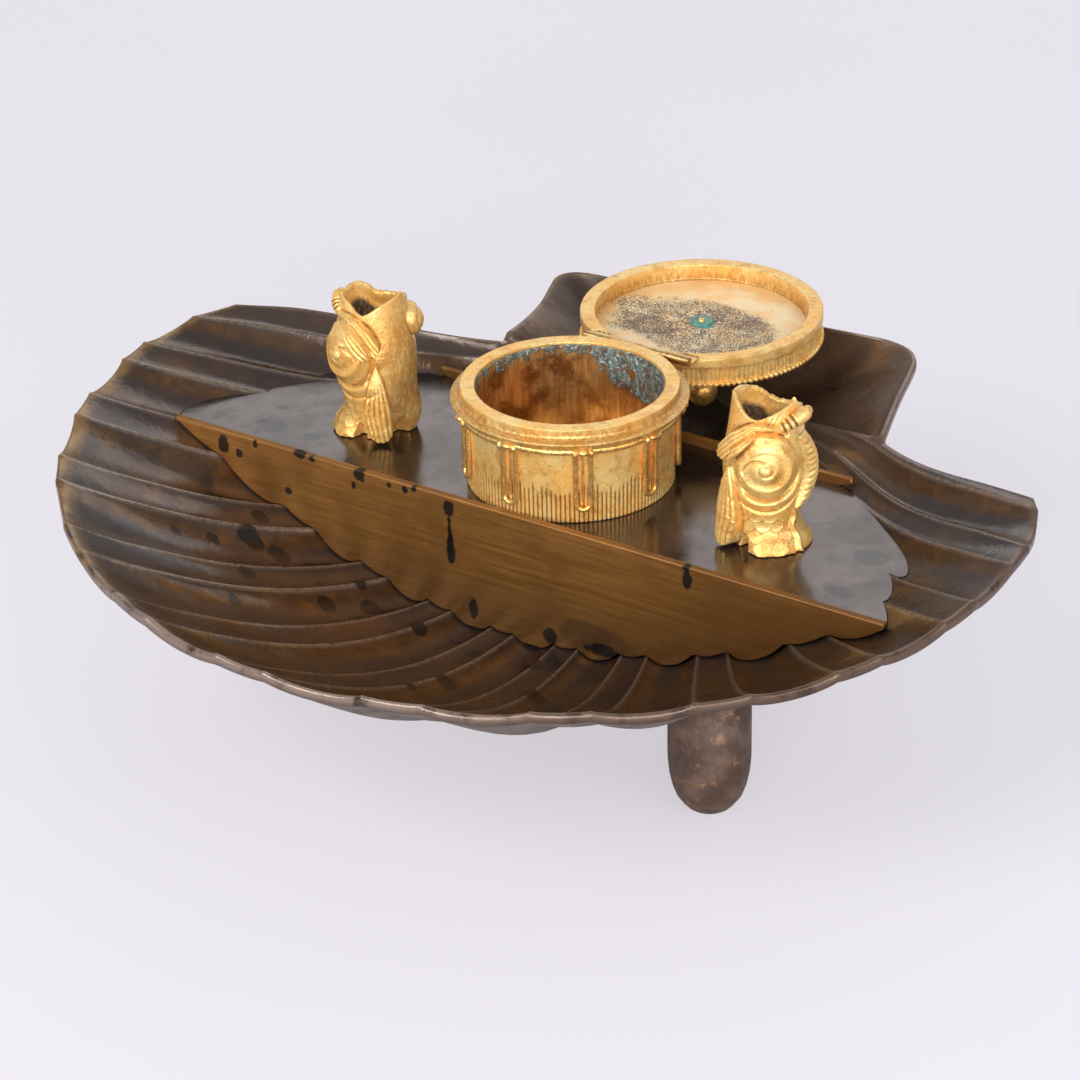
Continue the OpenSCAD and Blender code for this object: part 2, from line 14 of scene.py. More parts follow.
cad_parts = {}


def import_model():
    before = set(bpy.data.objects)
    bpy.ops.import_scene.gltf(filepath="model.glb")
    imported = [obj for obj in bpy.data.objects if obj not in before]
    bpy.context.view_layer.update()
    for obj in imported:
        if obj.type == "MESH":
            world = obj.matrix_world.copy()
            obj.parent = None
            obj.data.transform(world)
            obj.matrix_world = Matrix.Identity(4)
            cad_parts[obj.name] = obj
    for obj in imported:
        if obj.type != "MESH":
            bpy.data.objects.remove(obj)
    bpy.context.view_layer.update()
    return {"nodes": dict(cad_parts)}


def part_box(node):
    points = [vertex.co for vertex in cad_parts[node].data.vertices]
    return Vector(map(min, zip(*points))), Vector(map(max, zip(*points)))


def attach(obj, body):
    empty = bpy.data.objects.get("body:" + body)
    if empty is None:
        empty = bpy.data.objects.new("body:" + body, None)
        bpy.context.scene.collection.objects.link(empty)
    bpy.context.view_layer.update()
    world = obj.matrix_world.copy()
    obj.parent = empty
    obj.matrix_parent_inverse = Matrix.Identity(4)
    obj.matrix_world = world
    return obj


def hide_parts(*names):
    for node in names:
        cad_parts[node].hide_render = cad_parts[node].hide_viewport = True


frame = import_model()
MM = 0.001
random = np.random.default_rng(7)


# ---------------- sizes from the frame
def box_mm(node):
    """Lowest and highest corner of a CAD node in millimetres."""
    return np.array(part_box(node)) / MM


POT = np.mean(box_mm("pot_drum"), 0)[:2]
RIM_TOP = box_mm("pot_drum")[1, 2]
DECK_LOW, DECK = box_mm("deck_plate")[:, 2]
WALL_LOW, WALL_HIGH = box_mm("front_wall")
RAIL_LOW, RAIL_HIGH = box_mm("back_wall")
HINGE = np.array([POT[0], *np.mean(box_mm("hinge_pin"), 0)[1:]])
MOUTH = box_mm("lid_body")[1, 2]
POT_H = RIM_TOP - DECK
GAP = 0.3  # play under everything scribed to the dish


# ---------------- mesh helpers
def smoothstep(low, high, value):
    t = np.clip((value - low) / (high - low), 0, 1)
    return t * t * (3 - 2 * t)


def smoothed(table, reach):
    """A row of values rounded off over reach values on each side."""
    window = np.hanning(2 * reach + 1)
    return np.convolve(np.pad(table, reach, "edge"), window / window.sum(), "valid")


def ring_line(distance, width):
    return np.exp(-((distance / width) ** 2))


def polar(radius, angle, height):
    """Points from radii, angles in degrees from -Y towards +X, and heights."""
    a = np.radians(angle)
    return np.stack(np.broadcast_arrays(radius * np.sin(a), -radius * np.cos(a), height), -1)


def revolve(profile, sides):
    """Vertices of a profile of (radius, height) turned round the Z axis, one row per profile point."""
    profile = np.asarray(profile, float)
    return polar(profile[:, :1], 360 * np.arange(sides) / sides, profile[:, 1:])


def turned(points, angle):
    """Points turned about the Z axis by an angle in degrees."""
    c, s = math.cos(math.radians(angle)), math.sin(math.radians(angle))
    return points @ np.array([[c, s, 0], [-s, c, 0], [0, 0, 1]])


def ring_faces(rows, columns, flip=False, caps=False, close=False):
    """Quads between rings of vertices; flip turns them over, caps fills the first and last ring, close joins both."""
    r, c = np.meshgrid(np.arange(rows if close else rows - 1), np.arange(columns), indexing="ij")
    n, up = (c + 1) % columns, (r + 1) % rows
    quads = np.stack([r * columns + c, r * columns + n, up * columns + n, up * columns + c], -1)
    faces = quads.reshape(-1, 4).tolist()
    if caps:
        faces += [list(range(columns))[::-1], list(range((rows - 1) * columns, rows * columns))]
    return [f[::-1] for f in faces] if flip else faces


def build(name, node, parts, materials, fields=None, body="stand"):
    """Makes one piece from (vertices, faces, material number) parts and stands it for a CAD node."""
    points, faces, numbers, count = [], [], [], 0
    for vertices, quads, number in parts:
        points.append(np.reshape(vertices, (-1, 3)))
        faces += [tuple(int(i) + count for i in f) for f in quads]
        numbers += np.broadcast_to(number, len(quads)).astype(int).tolist()
        count += len(points[-1])
    mesh = bpy.data.meshes.new(name)
    mesh.from_pydata((np.concatenate(points) * MM).tolist(), [], faces)
    mesh.validate()
    for material in materials:
        mesh.materials.append(material)
    if len(numbers) == len(mesh.polygons):
        mesh.polygons.foreach_set("material_index", numbers)
    mesh.polygons.foreach_set("use_smooth", [True] * len(mesh.polygons))
    for key, values in (fields or {}).items():
        mesh.attributes.new(key, "FLOAT", "POINT").data.foreach_set("value", np.ravel(values).astype(float))
    piece = bpy.data.objects.new(name, mesh)
    bpy.context.scene.collection.objects.link(piece)
    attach(piece, body)
    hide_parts(node)


def rounded(corners, steps=4):
    """A profile with round corners: each corner is (radius, height, fillet)."""
    out = []
    for i, (r, z, fillet) in enumerate(corners):
        here = np.array([r, z])
        if fillet == 0 or i in (0, len(corners) - 1):
            out.append(here)
            continue
        before, after = (np.array(corners[k][:2]) - here for k in (i - 1, i + 1))
        a, b = (here + way / np.linalg.norm(way) * fillet for way in (before, after))
        out += [a * (1 - t) ** 2 + 2 * here * t * (1 - t) + b * t * t for t in np.linspace(0, 1, steps + 1)]
    return np.array(out)


def refine(profile, longest):
    """Splits long steps of a profile so that no step is longer than longest."""
    out = [profile[0]]
    for a, b in zip(profile[:-1], profile[1:]):
        n = max(1, int(math.ceil(np.linalg.norm(b - a) / longest)))
        out += [a + (b - a) * k / n for k in range(1, n + 1)]
    return np.array(out)


def spline(points, steps):
    """A smooth line through points."""
    p = np.array([points[0], *points, points[-1]], float)
    out = []
    for a, b, c, d in zip(p[:-3], p[1:-2], p[2:-1], p[3:]):
        for t in np.arange(steps) / steps:
            bend, twist = 2 * a - 5 * b + 4 * c - d, 3 * b - a - 3 * c + d
            out.append(0.5 * (2 * b + (c - a) * t + bend * t**2 + twist * t**3))
    return np.array(out + [p[-1]])


def cavity(grid):
    """How far each vertex of a grid lies below its neighbours, in mm: positive in grooves."""
    pad = np.concatenate([grid[:1], grid, grid[-1:]], 0)
    before, after = np.roll(grid, 1, 1), np.roll(grid, -1, 1)
    mean = (pad[:-2] + pad[2:] + before + after) / 4
    normal = np.cross(after - before, pad[2:] - pad[:-2])
    normal /= np.linalg.norm(normal, axis=-1, keepdims=True) + 1e-9
    return np.einsum("ijk,ijk->ij", mean - grid, normal)


def tube(path, radius, sides=12, up=(0, 0, 1)):
    """A tube of varying radius along a path, with closed round ends."""
    radius = np.broadcast_to(radius, len(path))
    along = np.gradient(path, axis=0)
    along /= np.linalg.norm(along, axis=1, keepdims=True)
    right = np.cross(along, np.asarray(up, float))
    right /= np.linalg.norm(right, axis=1, keepdims=True) + 1e-9
    lift = np.cross(right, along)
    turn = 2 * np.pi * np.arange(sides)[:, None] / sides
    ring = right[:, None] * np.cos(turn) + lift[:, None] * np.sin(turn)

    def cap(end, sign, angle):
        c, s = math.cos(math.radians(angle)), math.sin(math.radians(angle))
        return path[end] + radius[end] * (ring[end] * c + sign * along[end] * s)

    rows = [cap(0, -1, a) for a in (85, 60, 30)] + [*(path[:, None] + ring * radius[:, None, None])]
    rows += [cap(-1, 1, a) for a in (30, 60, 85)]
    return np.concatenate(rows), ring_faces(len(rows), sides, caps=True)


def ball(centre, radii, rows=10, sides=16):
    """An ellipsoid."""
    lat = np.radians(np.linspace(-90, 90, rows + 1)[1:-1])
    body = revolve(np.stack([np.cos(lat), np.sin(lat)], 1), sides).reshape(-1, 3)
    points = np.concatenate([body, [[0, 0, -1], [0, 0, 1]]]) * radii + centre
    faces = ring_faces(rows - 1, sides)
    low, high, top = len(body), len(body) + 1, (rows - 2) * sides
    for i in range(sides):
        n = (i + 1) % sides
        faces += [[low, n, i], [high, top + i, top + n]]
    return points, faces


# ---------------- the shell's surface, about the pot's axis
SHELL_R = 146.0  # radius of the fan's main arc
DISC_X = -2.5  # and where its middle lies
UMBO_Y = 88.0  # where the ribs run together
RIM_H, RIM_SLOPE = 76.0, 0.036
BOWL, HOLLOW = 47.0, 28.0  # depth of the dish under its rim, and of the umbo's hollow
SHELL_T = 3.2
RIB_H = 1.6
LAST_RIB = 13
BAND = 0.18  # half the width of a raised band, in rib pitches
FIRST = -BAND  # the left edge, as a rib number
NOTCH_R = (69.0, 86.4)  # the notches beside the ears, left and right
NOTCH_TURN = (0.878, 0.951)
BOWL_P = (1.002, 1.000)  # powers of the bowl's section, inner and outer
FAN_EDGE = 66.5  # degrees at which the bowl runs out
RIM_WAVE = (3.17, -4.31, -0.75, 1.02, -1.12, 0.91, -0.82)  # cosines across the fan: the rim's reach
LIFT_WAVE = (3.15, -1.63, 1.2, -0.98, 0.67, -0.02)  # and its height
BOW = (3.9, 1.0)  # degrees by which the outer ribs bow, left and right
EDGE = 1.0  # how far the edge rounds out
SCALLOP = 0.8  # how far the rim draws in at each flute
EAR_DISH = 4.0
EARS = [(71, 62), (66.5, 76), (63.5, 87), (61, 94), (56, 99), (48, 101), (38, 100.3), (24, 99), (8, 98),
        (-10, 97.3), (-28, 96.6), (-42, 96.2), (-54, 96), (-61.5, 94), (-64.5, 89.5), (-63, 83), (-59.5, 72),
        (-57.5, 60)]


def side(w):
    """Place across the fan, from 0 at its left edge to 1 at its right, for a rib number."""
    return (w - FIRST) / (LAST_RIB - FIRST)


def waves(sizes, w):
    """A sum of cosines across the fan."""
    return sum(size * np.cos(np.pi * k * side(w)) for k, size in enumerate(sizes))


def rim_angle(w):
    t = 2 * w / LAST_RIB - 1
    return 1.35 + 63.6 * (1.13 * t - 0.13 * t**3) + 2.8 * (1 - t * t)


def rim_r(w):
    a = np.radians(rim_angle(w))
    b = -DISC_X * np.sin(a) - UMBO_Y * np.cos(a)
    r = -b + np.sqrt(b * b - DISC_X**2 - UMBO_Y**2 + SHELL_R**2)
    cut = 0.055 * (np.maximum(0, 1 - (w - FIRST) / 0.8) ** 2 + np.maximum(0, 1 - (LAST_RIB - w) / 0.8) ** 2)
    return r * (1 - cut) + waves(RIM_WAVE, w)


def notch_r(w):
    return NOTCH_R[0] + (NOTCH_R[1] - NOTCH_R[0]) * side(w)


def rib_angle(w, r):
    far = rim_angle(w)
    near = far * (NOTCH_TURN[0] + (NOTCH_TURN[1] - NOTCH_TURN[0]) * side(w))
    u = np.maximum(0, (r - notch_r(w)) / (rim_r(w) - notch_r(w)))
    ends = BOW[0] * np.maximum(0, 1 - 4 * side(w)) ** 2 + BOW[1] * np.maximum(0, 4 * side(w) - 3) ** 2
    return near + (far - near) * u**1.3 - ends * np.sin(np.pi * np.minimum(u, 1))


def plan(w, r):
    a = np.radians(rib_angle(w, r))
    return r * np.sin(a), UMBO_Y - r * np.cos(a)


def crest_line(w):
    """1 along the two sharp crests of each raised band."""
    return ring_line(np.abs(w - np.round(w)) - BAND, 0.02)


def rib_shape(w):
    """Raised bands with two sharp crests, and round flutes between them, from -1 to 1."""
    f = np.abs(w - np.round(w))
    band = 1 - 0.42 * np.cos(np.pi / 2 * f / BAND)
    down = 1 - np.clip((f - BAND) / (0.5 - BAND), 0, 1)
    return np.where(f < BAND, band, 2 * down**2.3 - 1) + 0.16 * crest_line(w)


def shell_z(w, r):
    """Height of the dish's top surface on rib w, at r from the umbo."""
    s = np.clip(r / rim_r(w), 0, 1)
    peak = BOWL_P[0] / sum(BOWL_P)
    shape = s ** BOWL_P[0] * (1 - s) ** BOWL_P[1] / (peak ** BOWL_P[0] * (1 - peak) ** BOWL_P[1])
    bowl = BOWL * np.maximum(0, 1 - (rim_angle(w) / FAN_EDGE) ** 2) * shape
    hollow = HOLLOW * np.maximum(0, 1 - r / notch_r(w)) ** 1.1
    relief = RIB_H * rib_shape(w) * np.sin(np.pi / 2 * np.clip((s - 0.12) / 0.55, 0, 1)) ** 2
    relief = relief * (1 - 0.6 * smoothstep(0.85, 1, s))
    rise = RIM_H + RIM_SLOPE * plan(w, r)[1]
    return rise - np.hypot(bowl, hollow) + relief + waves(LIFT_WAVE, w) * smoothstep(0.55, 1, s)


def skin_z(x, y):
    """The dish's top surface under a point, by a few steps of approach to its rib."""
    r = np.hypot(x, UMBO_Y - y)
    a = np.degrees(np.arctan2(x, UMBO_Y - y))
    w = 6.5 + a / 10
    for _ in range(14):
        w = w + (a - rib_angle(w, r)) / 10.5
    return shell_z(w, r)


def shell_tray():
    """The dish: one sheet with a top and an underside, joined by a rounded edge."""
    steps = [-0.18, -0.165, -0.14, -0.08, 0, 0.08, 0.14, 0.165, 0.18, 0.195, 0.215, 0.24, 0.28, 0.34, 0.42, 0.5]
    steps += [1 - f for f in steps[-2:8:-1]]
    w = np.array([i + f for i in range(LAST_RIB) for f in steps] + [LAST_RIB - BAND, LAST_RIB - 0.09, LAST_RIB])
    inner, outer = 34, 64
    last = inner + outer
    near, far = notch_r(w), rim_r(w) - EDGE - SCALLOP * (1 - rib_shape(w)) / 2
    rings = [near * k / inner for k in range(inner + 1)]
    rings += [near + (far - near) * k / outer for k in range(1, outer + 1)]
    disc = np.array([np.stack([*plan(w, r), shell_z(w, r)], -1) for r in rings])
    crest = crest_line(w)
    flute = np.clip((1 - rib_shape(w)) / 2, 0, 1)

    # The ears, from the right notch round the back to the left notch
    outline = spline([tuple(disc[inner, -1, :2])] + EARS + [tuple(disc[inner, 0, :2])], 6)[1:-1]
    m = len(outline)
    turn = np.arange(1, m + 1) / (m + 1)
    ends = np.minimum(turn, 1 - turn)
    ear = []
    for k in range(inner + 1):
        v = k / inner
        reach = v * (1 - EDGE / np.hypot(outline[:, 0], outline[:, 1] - UMBO_Y) * (k == inner))
        x, y = outline[:, 0] * reach, UMBO_Y + (outline[:, 1] - UMBO_Y) * reach
        z = RIM_H + RIM_SLOPE * y - HOLLOW * max(0, 1 - v) ** 1.1
        z = z - EAR_DISH * np.sin(np.pi * v) * (1 - np.sin(np.pi * turn))
        ear.append(np.stack([x, y, z + 1.1 * smoothstep(0.8, 1, v) * smoothstep(0.1, 0.25, ends)], -1))

    # Each ring has its points, then what the material reads: crest, flute, reach from the umbo, rim
    rays = len(w)
    spokes = rays + m
    layers = [(disc[0, :1], [0.0], [0.5], [0.0], [0.0])]
    for k in range(1, inner + 1):
        rim = np.append(np.zeros(rays), np.full(m, smoothstep(0.95, 1, k / inner)))
        layers.append((np.concatenate([disc[k], ear[k]]), np.append(crest, np.zeros(m)),
                       np.append(flute, np.full(m, 0.5)), np.full(spokes, 0.45 * k / inner), rim))
    for k in range(inner + 1, last + 1):
        s = (k - inner) / outer
        layers.append((disc[k], crest, flute, np.full(rays, 0.45 + 0.55 * s), np.full(rays, smoothstep(0.965, 1, s))))
    top, rib, groove, reach_out, rim = (np.concatenate(v) for v in zip(*layers))

    def at(k, j):
        if k == 0:
            return 0
        if k <= inner:
            return 1 + (k - 1) * spokes + j % spokes
        return 1 + inner * spokes + (k - inner - 1) * rays + j

    faces = [(0, at(1, j), at(1, j + 1)) for j in range(spokes)]
    for k in range(1, last):
        across = spokes if k < inner else rays - 1
        faces += [(at(k, j), at(k + 1, j), at(k + 1, j + 1), at(k, j + 1)) for j in range(across)]
    edge = [at(last, j) for j in range(rays)] + [at(k, rays - 1) for k in range(last - 1, inner - 1, -1)]
    edge += [at(inner, j) for j in range(rays, spokes)] + [at(k, 0) for k in range(inner, last)]

    # The edge: loops pushed out from the outline, from the top surface to the underside
    count, n = len(top), len(edge)
    line = top[edge]
    along = np.roll(line[:, :2], -1, 0) - np.roll(line[:, :2], 1, 0)
    out = np.stack([along[:, 1], -along[:, 0], 0 * along[:, 0]], -1)
    out /= np.linalg.norm(out, axis=1, keepdims=True) + 1e-9
    strips = [line + out * EDGE * push - [0, 0, SHELL_T * drop]
              for push, drop in ((0.7, 0.08), (1, 0.3), (1, 0.7), (0.7, 0.92))]
    faces += [tuple(i + count for i in f[::-1]) for f in faces]
    edge = np.array(edge)
    loops = [edge] + [2 * count + q * n + np.arange(n) for q in range(len(strips))] + [edge + count]
    for a, b in zip(loops[:-1], loops[1:]):
        faces += [(a[i], b[i], b[(i + 1) % n], a[(i + 1) % n]) for i in range(n)]
    points = np.concatenate([top, top - [0, 0, SHELL_T], *strips]) + [*POT, 0]
    edge_rim = np.repeat([1, 0.8, 0.4, 0.1], n)
    nothing = np.zeros(len(edge_rim))
    fields = {
        "crest": np.concatenate([rib, 0 * rib, nothing]),
        "flute": np.concatenate([groove, groove, nothing]),
        "reach": np.concatenate([reach_out, reach_out, nothing + 1]),
        "rim": np.concatenate([rim, 0 * rim, edge_rim]),
        "inside": np.concatenate([0 * rib + 1, 0 * rib, edge_rim]),
    }
    build("shell_dish", "shell_tray", [(points, faces, 0)], [bronze()], fields)


# ---------------- platform and feet
FINE_RIBS = np.arange(FIRST, LAST_RIB + 0.001, 0.02)


def section(y):
    """The dish's top surface along an upright plane at y (from the pot's axis), as heights over x."""
    xs, zs = [], []
    for w in FINE_RIBS:
        r = np.linspace(1, rim_r(w), 300)
        px, py = plan(w, r)
        if py[-1] < y:
            xs.append(np.interp(-y, -py, px))
            zs.append(np.interp(-y, -py, shell_z(w, r)))
    return np.array(xs), np.array(zs)


def wall(name, node, low, high, profile):
    """An upright plate scribed to the dish, with profile (y, z) points along its top, front to back."""
    front, back = low[1] - POT[1], high[1] - POT[1]
    tables = [section(y) for y in np.linspace(front, back, 3)]
    stations = np.arange(low[0] - POT[0], high[0] - POT[0] + 0.01, 0.8)
    feet = np.max([np.interp(np.clip(stations + d, t[0][0], t[0][-1]), *t) for t in tables for d in (-0.4, 0, 0.4)], 0)
    feet = np.minimum(np.maximum(feet + GAP, low[2]), high[2] - 1.2)
    rows = []
    for x, z in zip(stations, feet):
        row = [(x, front, z), (x, front, z + 0.25)]
        row += [(x, front + y, max(high[2] + h, z + 0.3 + 0.01 * i)) for i, (y, h) in enumerate(profile)]
        rows.append(row + [(x, back, z + 0.25), (x, back, z)])
    rows = np.array(rows) + [*POT, 0]
    build(name, node, [(rows, ring_faces(*rows.shape[:2], flip=True, caps=True), 0)], [wall_brass()])


def walls():
    t = WALL_HIGH[1] - WALL_LOW[1]
    lip = [(0, -6), (0, -0.7), (0.06, -0.36), (0.25, -0.12), (0.5, -0.02), (0.42 * t, -0.02), (0.47 * t, -0.22),
           (0.55 * t, -0.22), (0.6 * t, -0.02), (t - 0.5, 0), (t - 0.2, -0.1), (t, -0.5), (t, -6)]
    wall("platform_front", "front_wall", WALL_LOW, WALL_HIGH, lip)
    t = RAIL_HIGH[1] - RAIL_LOW[1]
    rail = [(0, -5), (0, -0.6), (0.12, -0.2), (0.45, 0), (t - 0.45, 0), (t - 0.12, -0.2), (t, -0.6), (t, -5)]
    wall("platform_rail", "back_wall", RAIL_LOW, RAIL_HIGH, rail)


def level_reach(w, level):
    """Distance from the umbo at which a ray last passes a level of the dish, or 0."""
    r = np.linspace(rim_r(w) - 1, 40, 500)
    z = shell_z(w, r)
    inside = np.nonzero(z < level)[0]
    if len(inside) == 0:
        return 0.0
    k = inside[0]
    return np.interp(level, [z[k], z[k - 1]], [r[k], r[k - 1]]) if k else r[0]


def deck():
    """The deck plate: its scalloped ends follow the dish and slope under to meet it."""
    thick = DECK - DECK_LOW
    front, back = WALL_HIGH[1] - POT[1] + 0.05, RAIL_LOW[1] - POT[1] - 0.05
    reach = np.array([[level_reach(w, DECK - 0.25), level_reach(w, DECK_LOW)] for w in FINE_RIBS])
    x, y = plan(FINE_RIBS, reach[:, 0] - GAP)
    ends = []
    for half in (x < 0, x > 0):
        within = np.nonzero(half & (reach.min(1) > 0) & (y > front) & (y < back))[0]
        ends.append(np.arange(within[0], within[-1] + 1))
    rings = []
    for inset, drop in ((0.6, 0), (0.5, 0), (0.2, 0.04), (0.05, 0.12), (0, 0.25), (0, thick)):
        line = []
        for picked, (first, last) in zip(ends, ((back, front), (front, back))):
            px, py = plan(FINE_RIBS[picked], reach[picked, int(drop == thick)] - GAP - inset)
            py = np.clip([first, *py, last], front + inset, back - inset)
            line.append(np.stack([[px[0], *px, px[-1]], py], -1))
        line = np.concatenate(line) + POT
        rings.append(np.column_stack([line, np.full(len(line), DECK - drop)]))
    count = len(line)
    faces = ring_faces(len(rings), count, flip=True)
    for k, order in ((0, 1), (len(rings) - 1, -1)):
        loop = [(i, (i + 1) % count) for i in range(count)]
        made = delaunay_2d_cdt([Vector(v[:2]) for v in rings[k]], loop, [], 1, 1e-5)
        faces += [[made[3][i][0] + k * count for i in face][::order] for face in made[2]]
    build("platform_deck", "deck_plate", [(np.concatenate(rings), faces, 0)], [deck_metal()])


def foot(node):
    """A round foot that narrows to a small flat end on the table."""
    low, high = box_mm(node)
    centre, radius = (low + high)[:2] / 2, (high[0] - low[0]) / 2
    rise = np.array([0, 1, 2.5, 5, 8, 12, 16, 18, 20])
    share = np.array([0.378, 0.531, 0.649, 0.799, 0.891, 0.963, 0.995, 1, 1])
    z = np.append(np.linspace(0, 18, 30), 20)
    top = revolve([(radius * k, 0) for k in (1, 0.7, 0.4, 0.12)], 64)
    x, y = (top[..., i] + centre[i] - POT[i] for i in (0, 1))
    top[..., 2] = np.minimum(skin_z(x, y) - SHELL_T - GAP, high[2])
    grid = np.concatenate([revolve(np.stack([np.interp(z, rise, share) * radius, z], 1), 64), top]) + [*centre, 0]
    build(node + "_cast", node, [(grid, ring_faces(len(grid), 64, caps=True), 0)], [FOOT_BRONZE])


# ---------------- ink pot, in its own frame on the deck
BARREL, KNUCKLE = 18.2, 6.0  # half the length of the hinge, and of its middle knuckle
DRUM_H = 23.9
BORE_R = 27.2
NECK_R = 29.0  # the drum's neck inside the collar
BAND_R = 31.5  # the plain rim band
SEAT_R = 31.98  # where the hinge's fixed leaf meets the collar
REEDS = 142
LOOPS = 9
CORD_Z = 23.4
CORD_R = 31.6
BEND_Z = 6.9  # middle of a hairpin's bend
STRAND = 2.15  # half the width of a hairpin
KNOT = ((-2.3, 0.6, (1.1, 1.5, 1.5)), (2.3, 0.6, (1.1, 1.5, 1.5)), (0, 0, (2.1, 2.1, 1.3)))


def to_pot(points):
    """Moves points from the pot's own frame into the stand's."""
    return np.asarray(points) + [*POT, DECK]


def reeding(turn, reeds):
    """Depth of the grooves between reeds, from 0 to 1, for shares of a turn."""
    return (1 - np.abs(np.sin(np.pi * turn * reeds))) ** 1.5


def pot_drum():
    """The drum: reeded round its lower half, with a plain bore."""
    sides = REEDS * 8
    turn = np.arange(sides) / sides
    z = np.concatenate([[0.05, 0.3], np.linspace(0.6, DRUM_H, 80)])[:, None]
    base = 30.0 + 0.45 * z / DRUM_H
    base[0] -= 0.25
    # Reeds reach up to an uneven line, higher beside each loop of cord
    beside = np.abs((turn * LOOPS + 0.5) % 1 - 0.5) * 2
    ragged = np.interp(turn * REEDS, np.arange(REEDS + 1), random.uniform(-1.4, 1.2, REEDS + 1))
    top = 10.4 + 1.3 * (1 - beside) + 0.7 * np.sin(turn * 2 * np.pi * 7) + 1.3 * ragged
    reeded = smoothstep(0, 1.6, top - z) * reeding(turn, REEDS)
    outside = polar(base - 0.5 * reeded, 360 * turn, z)
    inner = [(NECK_R, DRUM_H), (NECK_R, POT_H - 0.9), (BORE_R, POT_H - 0.9)]
    inside = revolve(inner + [(BORE_R, h) for h in np.linspace(POT_H - 2, 0.05, 12)], sides)
    whole = np.concatenate([outside, inside])
    row = np.arange(len(whole))
    kind = np.repeat((row >= len(outside) + 2) & (row < len(whole) - 1), sides)
    fields = {"cav": np.append(reeded * 0.6, np.zeros(inside.shape[:2]))}
    part = (to_pot(whole), ring_faces(len(whole), sides, close=True), kind)
    build("ink_pot_drum", "pot_drum", [part], [GILT, pot_inside()], fields)


def pot_collar():
    """The plain rim band over a hollow moulding, whose flange gives way to the hinge."""
    corners = [(NECK_R + 0.05, DRUM_H + 0.1, 0), (32.6, DRUM_H + 0.3, 0.3), (33.9, 25.7, 0.3), (34.3, 26.2, 0.2),
               (34.3, 26.7, 0.2), (33.3, POT_H - 3.0, 0.3), (32.3, POT_H - 2.9, 0.3), (31.75, POT_H - 2.6, 0.2),
               (BAND_R, POT_H - 2.0, 0.3), (BAND_R, POT_H, 0.3), (BORE_R, POT_H, 0.45), (BORE_R, POT_H - 0.9, 0)]
    sides = 720
    profile = refine(rounded(corners, 5), 0.5)
    dents = 0.06 / 34 * np.sin(2 * np.pi * 11 * np.arange(sides) / sides) * ring_line(profile[:, 1:] - 25.2, 1.2)
    grid = revolve(profile, sides)
    grid[..., :2] *= 1 + dents[..., None]
    # Beside the fixed leaf and the knuckles the flange is filed down to the ledge
    x, y, z = np.moveaxis(grid, -1, 0)
    beside = (np.abs(x) < BARREL) & (y > 0) & (z > HINGE[2] - DECK - 0.55) & (z < POT_H - 1.5)
    reach = np.hypot(x, y)
    seat = np.where(z > POT_H - 3.3, BAND_R, SEAT_R)
    grid[..., :2] *= np.where(beside & (reach > seat), seat / reach, 1)[..., None]
    # Tarnish streaks on the collar, with painted shade in the hollow under the band and on the flange's underside
    aging_and_painted_light = np.where(z < POT_H - 0.2, 0.35 + 0.85 * smoothstep(29.4, 28.0, z) * smoothstep(34.6, 33.6, reach), 0.0)
    fields = {"cav": cavity(grid) * 6, "tarnish_and_shade": aging_and_painted_light}
    build("ink_pot_rim", "pot_collar", [(to_pot(grid), ring_faces(len(grid), sides), 0)], [GILT], fields)


def pot_cord():
    """A cord below the rim with a knot over each of nine hanging loops."""
    pieces = []
    ends, bend = np.full(10, STRAND), np.radians(np.linspace(180, 360, 13))
    across = np.degrees(np.concatenate([-ends, STRAND * np.cos(bend), ends]) / CORD_R)
    hang = np.linspace(CORD_Z, BEND_Z + 0.6, 10)
    hang = np.concatenate([hang, BEND_Z + STRAND * np.sin(bend), hang[::-1]])
    taper = 0.42 * np.sin(np.pi * np.linspace(0.12, 0.9, 12)) ** 0.5
    t = np.linspace(0, 1, 25)
    for middle in np.arange(LOOPS) * 360 / LOOPS:
        up = polar(CORD_R, middle, 0.0)
        # The cord sags a little between one knot and the next
        sag = CORD_Z + 0.2 - 0.4 * np.sin(np.pi * t)
        pieces.append(tube(polar(CORD_R, middle + 360 / LOOPS * t, sag), 1.08, 12))
        pieces.append(tube(polar(CORD_R - 0.5, middle + across, hang), 0.78, 10, up))
        rib = polar(CORD_R - 1.0, np.full(12, middle), np.linspace(CORD_Z - 1, BEND_Z + 0.4, 12))
        pieces.append(tube(rib, taper, 8, up))
        for offset, down, size in KNOT:
            points, faces = ball((0, 0, 0), size)
            place = polar(CORD_R + 0.3, middle + np.degrees(offset / CORD_R), CORD_Z - down)
            pieces.append((turned(points, middle) + place, faces))
    build("ink_pot_cord", "pot_cord_ring", [(to_pot(p), f, 0) for p, f in pieces], [POLISHED_GILT])


def pot_floor():
    low, high = box_mm("pot_floor")
    radius = (high[0] - low[0]) / 2
    hole = 2.1
    profile = [(hole, 0.0), (hole, 2.0), (8, 1.9), (16, 1.95), (radius - 1, 2.0), (radius, 1.9), (radius, 0.0)]
    grid = to_pot(revolve(profile, 120)) + [0, 0, 0.05]
    build("ink_pot_floor", "pot_floor", [(grid, ring_faces(len(grid), 120, flip=True, close=True), 0)], [pot_inside()])


# ---------------- lid, as it lies open with its mouth up
LID_R = 36.4
LID_RI = 31.9
LID = np.array([np.mean(box_mm("lid_body")[:, 0]), box_mm("lid_body")[1, 1] - LID_R])
RECESS = -5.0
LID_REEDS = 150
BEADS = 130
BEAD_R = 0.82


def to_lid(points):
    """Moves points from the lid's own frame, with heights below the mouth as negative, into the stand's."""
    return np.asarray(points) + [*LID, MOUTH]


